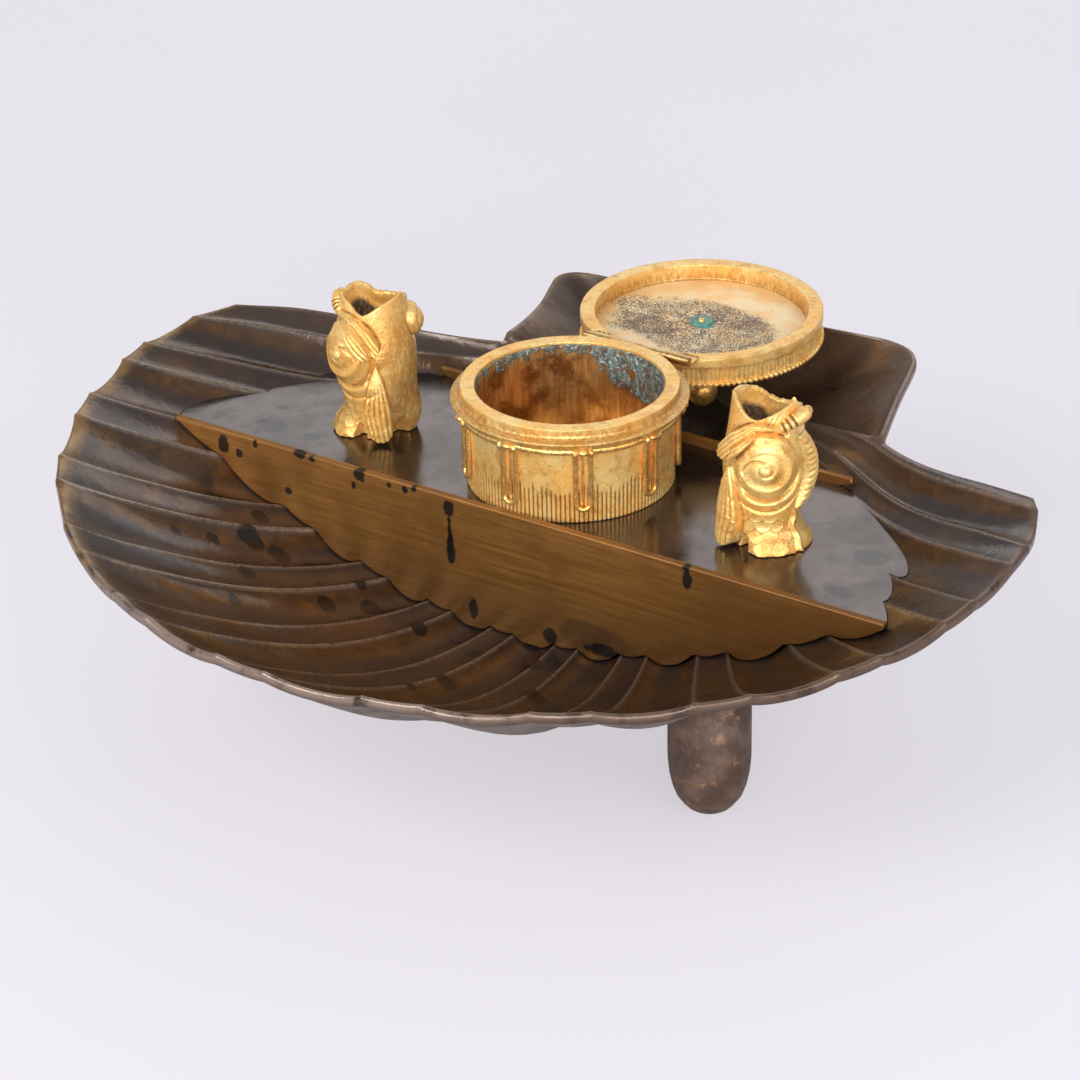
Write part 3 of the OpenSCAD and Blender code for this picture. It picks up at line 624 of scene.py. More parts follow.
def lid_body():
    """The lid: plain band, reeded side and a low domed top, cut away for the hinge."""
    sides = LID_REEDS * 6
    corners = [(0.6, RECESS, 0), (26, RECESS, 1), (LID_RI, RECESS, 0.7), (LID_RI, 0, 0.35), (LID_R, 0, 0.4),
               (LID_R, -3.0, 0.3), (35.75, -3.25, 0.1), (35.75, -8.2, 0.2), (34.8, -9.0, 0.4), (28, -10.2, 2),
               (20, -11.0, 2), (8, -13.4, 1.5), (3.8, -14.0, 0.4), (0.6, -14.15, 0)]
    profile = refine(rounded(corners, 5), 0.9)
    radius, height = profile[:, :1], profile[:, 1:]
    turn = np.arange(sides) / sides
    reeded = smoothstep(-3.25, -3.7, height) * smoothstep(-8.3, -7.8, height) * (radius > 35)
    radius = radius - 0.4 * reeding(turn, LID_REEDS) * reeded
    height = height + np.where(radius < 30, 0.12 * np.sin(radius * 0.3) * (height > -6), 0)
    grid = polar(radius, 360 * turn, height)
    # The mouth's edge and side give way to the hinge barrel
    x, y, z = np.moveaxis(to_lid(grid) - HINGE, -1, 0)
    room = np.where(np.abs(x) < KNUCKLE + 0.3, 1.65, 1.38)
    drop = np.sqrt(np.maximum(0, room**2 - y**2))
    leaf = (y > -2) & (y < 5.2) & (z > -1.75) & (np.abs(x) < BARREL - 0.1) & (np.abs(x) > KNUCKLE)
    z = np.where((np.abs(x) < BARREL + 0.1) & (np.abs(y) < room) & (z > -drop), -drop, z)
    z = np.where(leaf, np.minimum(z, -1.76), z)
    grid[..., 2] = z + HINGE[2] - MOUTH
    kind = np.repeat((profile[:, 0] < 31.0) & (profile[:, 1] > -6), sides)
    aging_and_painted_light = 1.2 * smoothstep(0.2, RECESS + 0.5, height) * (np.abs(radius - 31.7) < 0.7)
    fields = {"cav": cavity(grid) * 3, "tarnish_and_shade": aging_and_painted_light}
    part = (to_lid(grid), ring_faces(len(grid), sides, close=True), kind)
    build("lid_cap", "lid_body", [part], [GILT, lid_floor()], fields, "lid")


def lid_beads():
    """A row of beads round the lid's top edge, on a thin ring."""
    places = polar(35.95, 360 * np.arange(BEADS) / BEADS, -8.35)
    pieces = [ball(place, BEAD_R, 8, 12) for place in places]
    ring = revolve(rounded([(35.4, -7.9, 0), (36.2, -7.8, 0.2), (36.2, -8.6, 0.2), (35.2, -8.8, 0)]), 180)
    pieces.append((ring.reshape(-1, 3), ring_faces(len(ring), 180)))
    build("lid_beads", "lid_bead_ring", [(to_lid(p), f, 0) for p, f in pieces], [GILT], body="lid")


def lid_knob():
    """A ball on a short neck, with its stud through the lid."""
    low, high = box_mm("lid_knob")
    radius = (high[0] - low[0]) / 2
    middle = low[2] - MOUTH + radius
    angles = np.radians(np.linspace(-90, 68, 30))
    profile = [(max(0.01, radius * math.cos(a)), middle + radius * math.sin(a)) for a in angles]
    profile += [(2.1, middle + 5.2), (2.5, middle + 6.2), (3.1, middle + 7.0), (2.6, middle + 7.8),
                (2.7, -17), (3.1, -15.4), (3.6, -14.4), (3.6, -14.27)]
    stud = [(1, -14.27), (1, -3.75), (0.8, -3.6), (0.01, -3.6)]
    grid = revolve(np.concatenate([refine(np.array(profile), 0.7), stud]), 64)
    part = (to_lid(grid), ring_faces(len(grid), 64, caps=True), 0)
    build("lid_knob_ball", "lid_knob", [part], [POLISHED_GILT], body="lid")


# ---------------- fish pen holders, in their own frames
FISH = np.array([67.0, -2.5])
FISH_SIDES = 450
FISH_ROWS = 220
SOCKET_R = 4.6
SOCKET_LOW, SOCKET_HIGH = 8.0, 30.0
LIP_T = 1.3
ARC = 12.0  # the body's radius by which angles round it are measured in mm
LEAST_R = 7.0  # under the arches
TRUNK = np.array([(0, 9.3), (5, 9.5), (10, 9.9), (15, 10.6), (21, 11.3), (27, 11.3), (33, 10.6), (38, 10.1),
                  (46, 9.4)])  # height and radius of the body
# The lip's rounded edge: how far back and how far down, in mm
LIP_ROLL = ((0.12, -0.12), (0.35, -0.2), (0.65, -0.18), (0.95, 0.0), (LIP_T, 0.45))
FAR_EYE = (127.0, 34.8)
BARBEL_SIDES = 24

# The castings aren't quite mirror images of each other. lips: angle round the mouth and height above the deck;
# tips: angle and height of its sharp tips; eye: the near eye's place; lean: how far the fins turn; wide: the long
# fin's width; shade: where the throat is darkest; barbel: angle, reach and height along it
LEFT = {
    "lips": [(-180, 39.6), (-150, 39.4), (-132, 42.2), (-118, 43.2), (-100, 43.2), (-80, 42.4), (-66, 43.3),
             (-50, 43.0), (-28, 42.9), (-16, 42.6), (-7, 41.8), (3, 40.4), (15, 39.3), (30, 40.6), (45, 42.2),
             (60, 43.4), (76, 44.1), (92, 44.6), (104, 43.2), (125, 42.2), (150, 41.0), (166, 40.0), (180, 39.6)],
    "tips": ((94, 0.9), (-66, 0.7)), "eye": (-14.0, 28.0), "lean": 0, "wide": 1.0, "shade": -100,
    "barbel": [(-44, 9.2, 37.4), (-56, 9.9, 38.5), (-67, 10.4, 39.6), (-76, 10.6, 40.6), (-82, 10.6, 41.2)],
}
RIGHT = {
    "lips": [(-180, 38.4), (-164, 38.7), (-145, 39.6), (-120, 41.4), (-100, 43.0), (-88, 44.6), (-78, 44.2),
             (-60, 43.3), (-30, 41.1), (-12, 39.9), (2, 40.7), (13, 41.8), (26, 43.5), (40, 44.6), (56, 44.9),
             (74, 44.2), (100, 43.8), (136, 41.9), (154, 39.4), (170, 38.2), (180, 38.4)],
    "tips": ((-87, 1.1), (56, 0.3)), "eye": (-30.0, 27.7), "lean": -7, "wide": 1.1, "shade": 110,
    "barbel": [(-46, 9.4, 37.4), (-61, 10.5, 38.8), (-75, 11.5, 40.3), (-86, 12.2, 41.4), (-93, 12.5, 42.0)],
}


def eye_rings(rho, *lines):
    """Raised and sunk rings: (height, radius, width) each."""
    return sum(height * ring_line(rho - radius, width) for height, radius, width in lines)


def away(a, at):
    """Millimetres round the body between an angle and each vertex's."""
    return np.radians((a - at + 180) % 360 - 180) * ARC


def hump(a, z, at, size, height):
    return height * np.exp(-((away(a, at[0]) / size[0]) ** 2) - ((z - at[1]) / size[1]) ** 2)


def near_eye(a, z, centre):
    """A great dome that overhangs the waist, with a raised ring, a comma crease and a bead for its pupil."""
    x, y = away(a, centre[0]), z - centre[1]
    y = np.where(y < 0, y * 0.95, y * 1.06)
    rho, phi = np.hypot(x * 1.04, y), np.arctan2(y, x)
    h = 3.9 * np.maximum(0, 1 - (rho / 10.2) ** 2) ** 0.62
    h += eye_rings(rho, (0.3, 9.4, 0.6), (-0.55, 10.3, 0.6), (-0.42, 4.3, 1.0))
    h += 0.45 * ring_line(rho - 6.6, 0.8) * smoothstep(0.75, 0.0, np.sin(phi + 0.3))
    # The comma: a sharp crease that curls from above the pupil down and out to the ring
    curl = 2.3 + 3.6 * np.clip((1.5 - phi) / 1.7, 0, 1) ** 1.3
    h -= 0.7 * ring_line(rho - curl, 0.34) * smoothstep(1.9, 1.3, phi) * smoothstep(-0.55, -0.1, phi)
    h -= 0.35 * ring_line(rho - 1.9, 0.35) * smoothstep(-0.4, 0.6, np.sin(phi - 1.9))
    return h + 0.75 * np.sqrt(np.maximum(0, 1 - (rho / 1.5) ** 2))


def folds(a, z, centre):
    """The crescent folds of skin under the near eye."""
    x, y = away(a, centre[0]), z - centre[1]
    rho, phi = np.hypot(x * 0.95, y), np.degrees(np.arctan2(y, x)) % 360
    below = smoothstep(186, 222, phi) * smoothstep(322, 296, phi)
    return below * eye_rings(rho, (0.9, 12.6, 1.3), (-0.55, 11.0, 0.35), (-0.5, 15.2, 0.5))


def far_eye(a, z):
    rho = np.hypot(away(a, FAR_EYE[0]), z - FAR_EYE[1])
    h = 3.6 * np.maximum(0, 1 - (rho / 5.2) ** 2) ** 0.55
    return h + eye_rings(rho, (-0.5, 5.4, 0.5), (-0.4, 3.2, 0.4), (0.3, 0, 1.0))


def gill(a, z, centre):
    """A beaded crescent behind the near eye."""
    mid, half = 23.0, 11.3
    t = (z - mid) / half
    x = away(a, centre[0]) + 17.4 - 3.0 * t**2
    shape = np.sqrt(np.maximum(0, 1 - (x / 3.0) ** 2)) * np.sqrt(np.maximum(0, 1 - t**2))
    beads = np.abs(np.sin(np.pi * (z + 0.5 * x) / 1.8)) ** 0.5
    return shape * (2.6 + 0.65 * beads) - 0.8 * ring_line(x - 3.5, 0.7) * smoothstep(1.05, 0.8, np.abs(t))


def blade(a, z, line, widths, rise, ribs, cut):
    """A raised fin along a line of (angle, height) points, with ribs that spread along it."""
    steps = 70
    t = np.linspace(0, 1, steps)
    angles, heights = np.transpose(line)
    x, y, half, height = (np.interp(t, np.linspace(0, 1, len(known)), known)
                          for known in (np.radians(angles) * ARC, heights, widths, rise))
    for row in (x, y, half):
        row[1:-1] = (row[:-2] + row[1:-1] * 2 + row[2:]) / 4
    px = away(a, angles[0]) + x[0]
    nearest = np.full(a.shape, 99.0)
    where, beside = np.zeros(a.shape), np.zeros(a.shape)
    for i in range(steps - 1):
        dx, dy = x[i + 1] - x[i], y[i + 1] - y[i]
        length = math.hypot(dx, dy)
        u = np.clip(((px - x[i]) * dx + (z - y[i]) * dy) / length**2, 0, 1)
        qx, qy = px - x[i] - u * dx, z - y[i] - u * dy
        gap = np.hypot(qx, qy)
        width = half[i] + (half[i + 1] - half[i]) * u
        closer = gap - width < nearest
        nearest = np.where(closer, gap - width, nearest)
        where = np.where(closer, (i + u) / (steps - 1), where)
        beside = np.where(closer, (qx * dy - qy * dx) / length / width, beside)
    inside = smoothstep(0.18, -0.22, nearest)
    crown = 1 - 0.25 * np.clip(np.abs(beside), 0, 1) ** 2
    fluted = cut * smoothstep(0.15, 0.6, where) * (np.abs(np.sin(np.pi * (beside + 1) / 2 * ribs)) ** 0.45 - 1)
    groove = 0.5 * ring_line(nearest - 0.3, 0.35)
    return inside * (np.interp(where, t, height) * crown + fluted) - groove * (1 - inside)


def scales(a, z, size):
    """Overlapping rounded scales with their free edges downwards: 0 at a root, 1 at an edge."""
    x = away(a, -60)
    high = np.zeros(a.shape)
    done = np.zeros(a.shape, bool)
    for k in range(12, -2, -1):
        shift = (k % 2) * size / 2
        cx = (x - shift + size / 2) % size - size / 2
        rho = np.hypot(cx, z - k * size * 0.62) / (size * 0.60)
        here = (rho < 1) & ~done
        high = np.where(here, rho, high)
        done |= here
    return high


def lip_z(a, cast):
    """The mouth's edge: a notch in front, a lobe at the back, and small sharp tips at its corners."""
    fine = np.arange(-180, 541)
    height = smoothed(np.interp((fine + 180) % 360 - 180, *np.transpose(cast["lips"])), 6)
    out = np.interp((a + 180) % 360, fine + 180, height)
    for at, tall in cast["tips"]:
        out = out + tall * np.exp(-np.abs(away(a, at)) / 0.55)
    ragged = 0.10 * np.sin(np.radians(a) * 23) + 0.08 * np.sin(np.radians(a) * 41 + 1)
    return out + ragged * smoothstep(100, 140, np.abs((a + 180) % 360 - 180))


def fish_skin(a, z, cast):
    """Radius of a fish's outside for angles round it and heights."""
    fine = np.linspace(0, 46, 185)
    r = np.interp(z, fine, smoothed(np.interp(fine, *TRUNK.T), 8))
    # The throat is fuller on the side of the far eye, with a foot behind it
    r += hump(a, z, (98, 21), (10, 15), 1.25) + hump(a, z, (118, 5.5), (5.5, 7.5), 3.3)
    r += hump(a, z, (38, 10), (6, 12), 0.9)
    # The tail flares out to its fringe and has a wavy seam
    r += 4.0 * (smoothstep(19, 10, np.abs(away(a, -72))) * smoothstep(9, 0, z)) ** 1.5
    seam = away(a, -80) - 0.5 * np.sin(z * 1.1)
    r += (0.8 * ring_line(seam, 0.6) - 0.5 * ring_line(seam - 1.2, 0.5)) * smoothstep(13, 11, z)
    across = away(a, -34)
    tail = smoothstep(11.6, 9.5, z) * smoothstep(12.5, 11.5, np.abs(across)) * smoothstep(-9, -8, across)
    r += tail * (0.38 * scales(a, z, 4.8) ** 4 - 0.15)
    eye, lean = cast["eye"], cast["lean"]
    r += near_eye(a, z, eye) + folds(a, z, eye) + far_eye(a, z) + gill(a, z, eye)
    # Fins: one from the mouth's corner over the eye to a leaf's tip, one down the throat
    leaf = [(-62, 36.2), (-46, 37.8), (-29, 38.5), (-10, 38.1), (6 + lean, 36.3), (18 + lean, 34.0), (28 + lean, 31.2)]
    r += blade(a, z, leaf, [0.5, 0.7, 0.9, 1.4, 2.5, 3.1, 2.9], [0.7, 0.9, 1.2, 1.6, 2.6, 3.8, 4.6], 5, 0.7)
    down = [(at + lean, height) for at, height in ((36, 24), (36, 19), (36, 14), (36.5, 9.5), (40, 4.2))]
    widths = [cast["wide"] * w for w in (0.6, 2.2, 3.2, 3.9, 3.3)]
    r += blade(a, z, down, widths, [0.9, 1.8, 2.8, 3.9, 5.0], 5, 0.9)
    # Fine folds at the mouth's corner
    for k in range(3):
        fold = away(a, -20 - 9 * k) + (z - 37.5) * 0.7
        r -= 0.35 * ring_line(fold, 0.35) * smoothstep(38.5, 39.2, z) * smoothstep(42.5, 41, z)
    # Hollows under the body on both sides of the long fin
    for at, wide, tall in ((6, 2.3, 5.2), (78, 3.9, 6.4)):
        arch = smoothstep(1.0, 0.75, np.hypot(away(a, at) / wide, z / tall))
        r = r * (1 - arch) + LEAST_R * arch
    return np.maximum(r, LEAST_R)


def barbel(cast):
    """A fat ringed tube from the mouth's corner, ending in a round tip: vertices, faces and cavity."""
    t = np.linspace(0, 1, 90)
    angle, reach, height = (np.interp(t, [0, 0.3, 0.6, 0.85, 1], known) for known in np.transpose(cast["barbel"]))
    ringed = 0.22 * np.sin(2 * np.pi * 7 * t) * smoothstep(0.08, 0.2, t) * smoothstep(0.66, 0.58, t)
    thick = np.interp(t, [0, 0.2, 0.5, 0.8, 0.93, 1], [1.0, 1.6, 1.95, 2.15, 2.1, 1.5]) + ringed
    return *tube(polar(reach, angle, height), thick, BARBEL_SIDES), np.repeat(np.pad(-ringed * 4, 3), BARBEL_SIDES)


def fish(name, node, cast, mirror):
    """A stylized fish standing on its tail, with its open mouth as the pen socket."""
    round_it = np.linspace(-180, 180, FISH_SIDES, endpoint=False)
    turn = np.radians(round_it)
    z = GAP + (lip_z(round_it, cast) - GAP) * np.linspace(0, 1, FISH_ROWS)[:, None]
    a = np.broadcast_to(round_it, z.shape)
    r = fish_skin(a, z, cast)
    lip_r, lip_top = r[-1], z[-1]
    rows = [*polar(r, a, z)]
    rows += [polar(lip_r - back, round_it, lip_top - down) for back, down in LIP_ROLL]
    for t in np.linspace(0.05, 1, 26):
        throat = (lip_r - LIP_T) * (1 - t) + SOCKET_R * t + (0.25 * np.sin(3 * turn + 9 * t) + 1.5) * np.sin(np.pi * t)
        rows.append(polar(throat, round_it, (lip_top - 0.5) * (1 - t) + SOCKET_HIGH * t))
    rows += [polar(SOCKET_R, round_it, height) for height in np.linspace(SOCKET_HIGH - 1, SOCKET_LOW, 12)]
    grid = np.array(rows)
    sunk = cavity(grid) * 5
    dark, aging_and_painted_light = np.zeros((2, *grid.shape[:2]))
    mouth = slice(FISH_ROWS + 3, None)
    # Painted shade deep in the mouth, darkest on the side that the cast's shade angle gives
    shade = 0.75 + 0.5 * np.cos(turn - np.radians(cast["shade"]))
    dark[mouth] = smoothstep(1.0, 10, lip_top - grid[mouth, :, 2]) * shade
    # Painted shade: brown streaks down the side of the body, about 84 degrees round
    aging_and_painted_light[:FISH_ROWS] = smoothstep(9, 2, np.abs(away(a, 84))) * smoothstep(46, 30, z)
    points, quads, ringed = barbel(cast)
    nothing = np.zeros(len(points))
    fields = {"cav": np.append(sunk, ringed), "dark": np.append(dark, nothing), "tarnish_and_shade": np.append(aging_and_painted_light, nothing)}
    flip = [-1 if mirror else 1, 1, 1]
    place = [*(POT + FISH * [1 if mirror else -1, 1]), DECK]
    body = (grid * flip + place, ring_faces(len(grid), FISH_SIDES, flip=mirror, caps=True), 0)
    feeler = (points * flip + place, [f[::-1] for f in quads] if mirror else quads, 0)
    build(name, node, [body, feeler], [GILT], fields)


# ---------------- materials
class Finish:
    """A material and short ways to add nodes to it."""

    def __init__(self, name):
        self.material = bpy.data.materials.new(name)
        self.material.use_nodes = True
        self.nodes = self.material.node_tree.nodes
        self.shader = self.nodes["Principled BSDF"]
        self.place = self.add("TexCoord", output="Object")
        self.colour = self.normal = None

    def feed(self, socket, value):
        if isinstance(value, bpy.types.NodeSocket):
            self.material.node_tree.links.new(value, socket)
        else:
            socket.default_value = value

    def add(self, kind, inputs=(), output=0, **settings):
        """Adds a node with settings and inputs by name or number, and gives one of its outputs."""
        node = self.nodes.new("ShaderNode" + kind)
        for key, value in settings.items():
            setattr(node, key, value)
        for key, value in dict(inputs).items():
            self.feed(node.inputs[key], value)
        return node.outputs[output]

    def noise(self, size, detail=4.0, rough=0.55, stretch=(1, 1, 1), twist=0.0):
        """Noise with features of about size millimetres, from 0 to 1."""
        where = self.add("Mapping", {"Vector": self.place, "Scale": [k / size / MM for k in stretch]})
        look = {"Vector": where, "Scale": 1.0, "Detail": detail, "Roughness": rough, "Distortion": twist}
        return self.add("TexNoise", look, "Fac")

    def field(self, key):
        """A value that the mesh carries."""
        return self.add("Attribute", output="Fac", attribute_name=key)

    def math(self, kind, *values, clamp=False):
        return self.add("Math", enumerate(values), operation=kind, use_clamp=clamp)

    def plus(self, a, share, b, clamp=False):
        """b with a share of a added."""
        return self.math("MULTIPLY_ADD", a, share, b, clamp=clamp)

    def times(self, first, *others):
        for other in others:
            first = self.math("MULTIPLY", first, other)
        return first

    def span(self, value, low, high, out_low=0.0, out_high=1.0):
        """Maps low..high to out_low..out_high smoothly, and holds the ends."""
        ends = {"Value": value, "From Min": low, "From Max": high, "To Min": out_low, "To Max": out_high}
        return self.add("MapRange", ends, "Result", interpolation_type="SMOOTHSTEP")

    def flecks(self, size, detail, rough, *ends):
        """Patches of about size millimetres: noise between the ends that span() takes."""
        return self.span(self.noise(size, detail, rough), *ends)

    def mix(self, share, a, b):
        """A colour between two, by the share of the second."""
        a, b = (c if isinstance(c, bpy.types.NodeSocket) else (*c, 1) for c in (a, b))
        return self.add("Mix", {"Factor": share, 6: a, 7: b}, 2, data_type="RGBA")

    def cover(self, mask, colour, share=1.0):
        """Lays a colour over the finish's own where mask is 1, as thickly as share."""
        self.colour = self.mix(mask if share == 1 else self.times(mask, share), self.colour, colour)

    def xyz(self):
        """Object coordinates as three values in metres."""
        split = self.add("SeparateXYZ", {"Vector": self.place}).node
        return split.outputs["X"], split.outputs["Y"], split.outputs["Z"]

    def patch(self, centre, size, softness=0.5):
        """1 inside an ellipsoid at centre with radii size, in millimetres, with a ragged edge."""
        ball_frame = {"Vector": self.place, "Location": [c * MM for c in centre], "Scale": [s * MM for s in size]}
        length = self.add("VectorMath", {0: self.add("Mapping", ball_frame, vector_type="TEXTURE")}, "Value",
                          operation="LENGTH")
        ragged = self.plus(self.noise(min(size) * 1.6, 3), softness, length)
        return self.span(ragged, 1 + softness * 0.62, 1 + softness * 0.38)

    def bump(self, height, depth):
        """Adds a bump of about depth millimetres to the ones before it."""
        before = {"Normal": self.normal} if self.normal else {}
        self.normal = self.add("Bump", {"Strength": 1.0, "Distance": depth * MM, "Height": height, **before}, "Normal")

    def done(self, metallic, roughness, **others):
        values = {"Base Color": self.colour, "Metallic": metallic, "Roughness": roughness, **others}
        if self.normal:
            values["Normal"] = self.normal
        for key, value in values.items():
            self.feed(self.shader.inputs[key.replace("_", " ")], value)
        return self.material


DUST = (0.30, 0.23, 0.17)
DARK_SPOT = (0.009, 0.010, 0.013)
BLACK_STAIN = (0.014, 0.014, 0.014)

# Dark spots on the dish about the pot's axis: place, and radius in mm
SHELL_SPOTS = (((-90, -71, 55), 2.2), ((-84, -62, 50), 2.5), ((-79, -51, 47), 4.6), ((-82, -42, 49), 3.2),
               ((-71, -48, 42), 4.2), ((-67, -68, 46), 3.2), ((-60, -83, 46), 2.6), ((-54, -51, 38), 1.5),
               ((-47, -41, 36), 2.2), ((-48, -56, 35), 3.6), ((-40, -45, 31), 4.4), ((2, -85, 38), 2.6),
               ((4, -70, 32), 4.4), ((16, -46, 30), 4.4), ((32, -67, 35), 5.0), ((-23, -46, 31), 3.4),
               ((-33, -30, 30), 4.0))


@cache
def bronze():
    f = Finish("dark_bronze")
    mottled = f.noise(24, 5, 0.6)
    fine = f.noise(1.4, 4, 0.6)
    streak = f.noise(8, 4, 0.6, (1, 1, 1.4), 0.4)
    x, y, _ = f.xyz()
    # Raised bands and flute floors are painted greyer as a sheen, the steep sides between them brown
    flute = f.field("flute")
    grey = f.mix(f.span(mottled, 0.42, 0.62), (0.052, 0.040, 0.037), (0.080, 0.052, 0.040))
    brown = f.mix(f.span(streak, 0.40, 0.66), (0.085, 0.043, 0.018), (0.150, 0.072, 0.026))
    slope = f.times(f.span(flute, 0.10, 0.45), f.span(flute, 1.0, 0.72), 0.75)
    f.colour = f.mix(f.plus(f.span(mottled, 0.45, 0.7), 0.45, slope, clamp=True), grey, brown)
    front = f.span(f.math("SUBTRACT", f.times(x, 0.35), y), 0.03, 0.11)
    f.cover(front, (0.048, 0.025, 0.012), 0.8)
    # Painted highlight: pale lines along the crests of the bands
    f.cover(f.times(f.field("crest"), f.span(fine, 0.30, 0.55, 0.25, 1.0)), (0.36, 0.27, 0.20), 0.7)
    # Shade on the left ear; the right ear and the back left are paler
    pot_y = POT[1] * MM
    left_ear = f.times(f.span(y, pot_y + 0.060, pot_y + 0.085), f.span(x, 0.03, -0.02))
    right_ear = f.times(f.span(y, pot_y + 0.02, pot_y + 0.06), f.span(x, 0.0, 0.05))
    f.cover(left_ear, (0.020, 0.015, 0.012), 0.75)
    f.cover(f.times(right_ear, f.span(mottled, 0.3, 0.6, 0.4, 0.85)), (0.19, 0.125, 0.085))
    f.cover(f.times(f.span(y, 0.02, 0.07), f.span(x, -0.02, -0.07)), (0.17, 0.115, 0.085), 0.45)
    for spot, size in SHELL_SPOTS:
        spot = np.array(spot) + [*POT, 0]
        f.cover(f.patch(spot, (size * 0.85, size * 0.75, size * 1.3), 1.1), DARK_SPOT, 0.85)
    near = f.span(f.field("reach"), 0.8, 0.5)
    f.cover(f.times(f.span(f.noise(15, 4, 0.62, twist=0.8), 0.66, 0.73), near), (0.016, 0.015, 0.014), 0.7)
    f.cover(f.times(f.flecks(0.5, 2, 0.7, 0.70, 0.75), near), DUST, 0.6)
    outside = f.span(f.field("inside"), 0.3, 0.0)
    f.cover(outside, f.mix(f.flecks(6, 5, 0.65, 0.35, 0.65), (0.060, 0.044, 0.034), (0.17, 0.125, 0.095)))
    # The rim is worn and carries a painted highlight: golden on the left, pinkish grey in front, brown on the right
    pale = f.mix(f.span(x, -0.095, -0.045), (0.34, 0.19, 0.065), (0.34, 0.25, 0.20))
    pale = f.mix(f.span(x, 0.03, 0.09), pale, (0.17, 0.105, 0.07))
    aging_and_painted_light = f.times(f.field("rim"), f.flecks(7, 4, 0.55, 0.30, 0.52))
    f.cover(aging_and_painted_light, pale, 0.85)
    rough = f.flecks(11, 5, 0.65, 0.35, 0.7, 0.16, 0.30)
    for where, rougher in ((left_ear, 0.3), (outside, 0.3), (aging_and_painted_light, 0.12)):
        rough = f.plus(where, rougher, rough)
    f.bump(f.noise(5, 4, 0.6), 0.20)
    f.bump(fine, 0.05)
    f.bump(f.times(f.noise(2.2, 5, 0.65), outside), 0.5)
    return f.done(0.5, rough, Specular_IOR_Level=0.7)


def gilded(name, rough_low, rough_high, metal_share):
    f = Finish(name)
    f.colour = f.mix(f.flecks(9, 4, 0.6, 0.35, 0.65), (1.0, 0.56, 0.15), (1.0, 0.70, 0.26))
    # A brown tarnish: streaks, clouds and pinpoints. The streaks follow the mesh's field, which also lays painted
    # shade on the collar and the fishes' sides
    streaks = f.span(f.noise(0.9, 4, 0.65, (1, 1, 0.3)), 0.30, 0.62)
    f.cover(f.times(f.field("tarnish_and_shade"), streaks), (0.34, 0.15, 0.036), 0.6)
    f.cover(f.flecks(4, 5, 0.7, 0.48, 0.66, 0.0, 0.6), (0.60, 0.27, 0.055))
    crowded = f.flecks(4, 3, 0.55, 0.36, 0.60, 0.15, 0.7)
    f.cover(f.times(f.flecks(0.5, 3, 0.75, 0.54, 0.66), crowded), (0.55, 0.22, 0.040))
    # Painted shade in grooves and hollows, as deep as the mesh's cav field
    f.cover(f.span(f.field("cav"), 0.02, 0.55), (0.15, 0.055, 0.012), 0.9)
    # Scabs and painted shade inside the mouths, darkest deep down
    dark = f.field("dark")
    ragged = f.plus(f.noise(2.2, 5, 0.7), 0.9, f.plus(dark, 1.3, -0.8))
    scab = f.mix(f.flecks(1.1, 5, 0.75, 0.42, 0.60), (0.030, 0.018, 0.014), (0.20, 0.14, 0.10))
    f.cover(f.span(ragged, 0.05, 0.6), scab)
    f.bump(f.noise(1.0, 3, 0.6), 0.14)
    f.bump(f.noise(0.4, 2, 0.6), 0.07)
    return f.done(f.span(dark, 0.1, 0.8, metal_share, 0.2), f.flecks(3, 4, 0.6, 0.3, 0.7, rough_low, rough_high))


GILT = gilded("satin_gilt", 0.24, 0.38, 0.42)
POLISHED_GILT = gilded("polished_gilt", 0.18, 0.30, 0.75)


@cache
def pot_inside():
    f = Finish("pot_inside")
    drawn = f.noise(1.5, 4, 0.6, (1, 1, 0.12))
    f.colour = f.mix(f.span(drawn, 0.35, 0.65), (0.60, 0.33, 0.105), (0.92, 0.58, 0.23))
    f.cover(f.flecks(9, 4, 0.55, 0.46, 0.66), (0.34, 0.145, 0.045))
    # Pale flecks: painted glints
    f.cover(f.flecks(0.7, 3, 0.7, 0.60, 0.68), (0.95, 0.74, 0.40), 0.8)
    # Crust under the rim, hanging lower at the back and right
    band = f.span(f.xyz()[2], (RIM_TOP - 8) * MM, (RIM_TOP - 2) * MM)
    low = f.patch((POT[0] + 15, POT[1] + 22, RIM_TOP - 3), (21, 18, 12), 1.0)
    reach = f.math("ADD", f.times(band, 0.45), f.times(low, 0.46), clamp=True)
    crust = f.span(f.plus(f.noise(4.5, 6, 0.8), 1.8, reach), 1.24, 1.36)
    scab = f.mix(f.flecks(2.2, 5, 0.75, 0.42, 0.58), (0.075, 0.085, 0.062), (0.20, 0.27, 0.24))
    scab = f.mix(f.flecks(1.4, 5, 0.75, 0.55, 0.63), scab, (0.66, 0.68, 0.68))
    scab = f.mix(f.flecks(2.1, 5, 0.7, 0.55, 0.64), scab, (0.22, 0.080, 0.035))
    f.cover(crust, scab)
    f.bump(f.times(f.noise(1.6, 5, 0.7), crust), 0.6)
    f.bump(drawn, 0.05)
    rough = f.plus(crust, 0.35, f.flecks(3, 4, 0.55, 0.3, 0.7, 0.26, 0.40))
    return f.done(f.span(crust, 0.0, 1.0, 0.85, 0.0), rough)


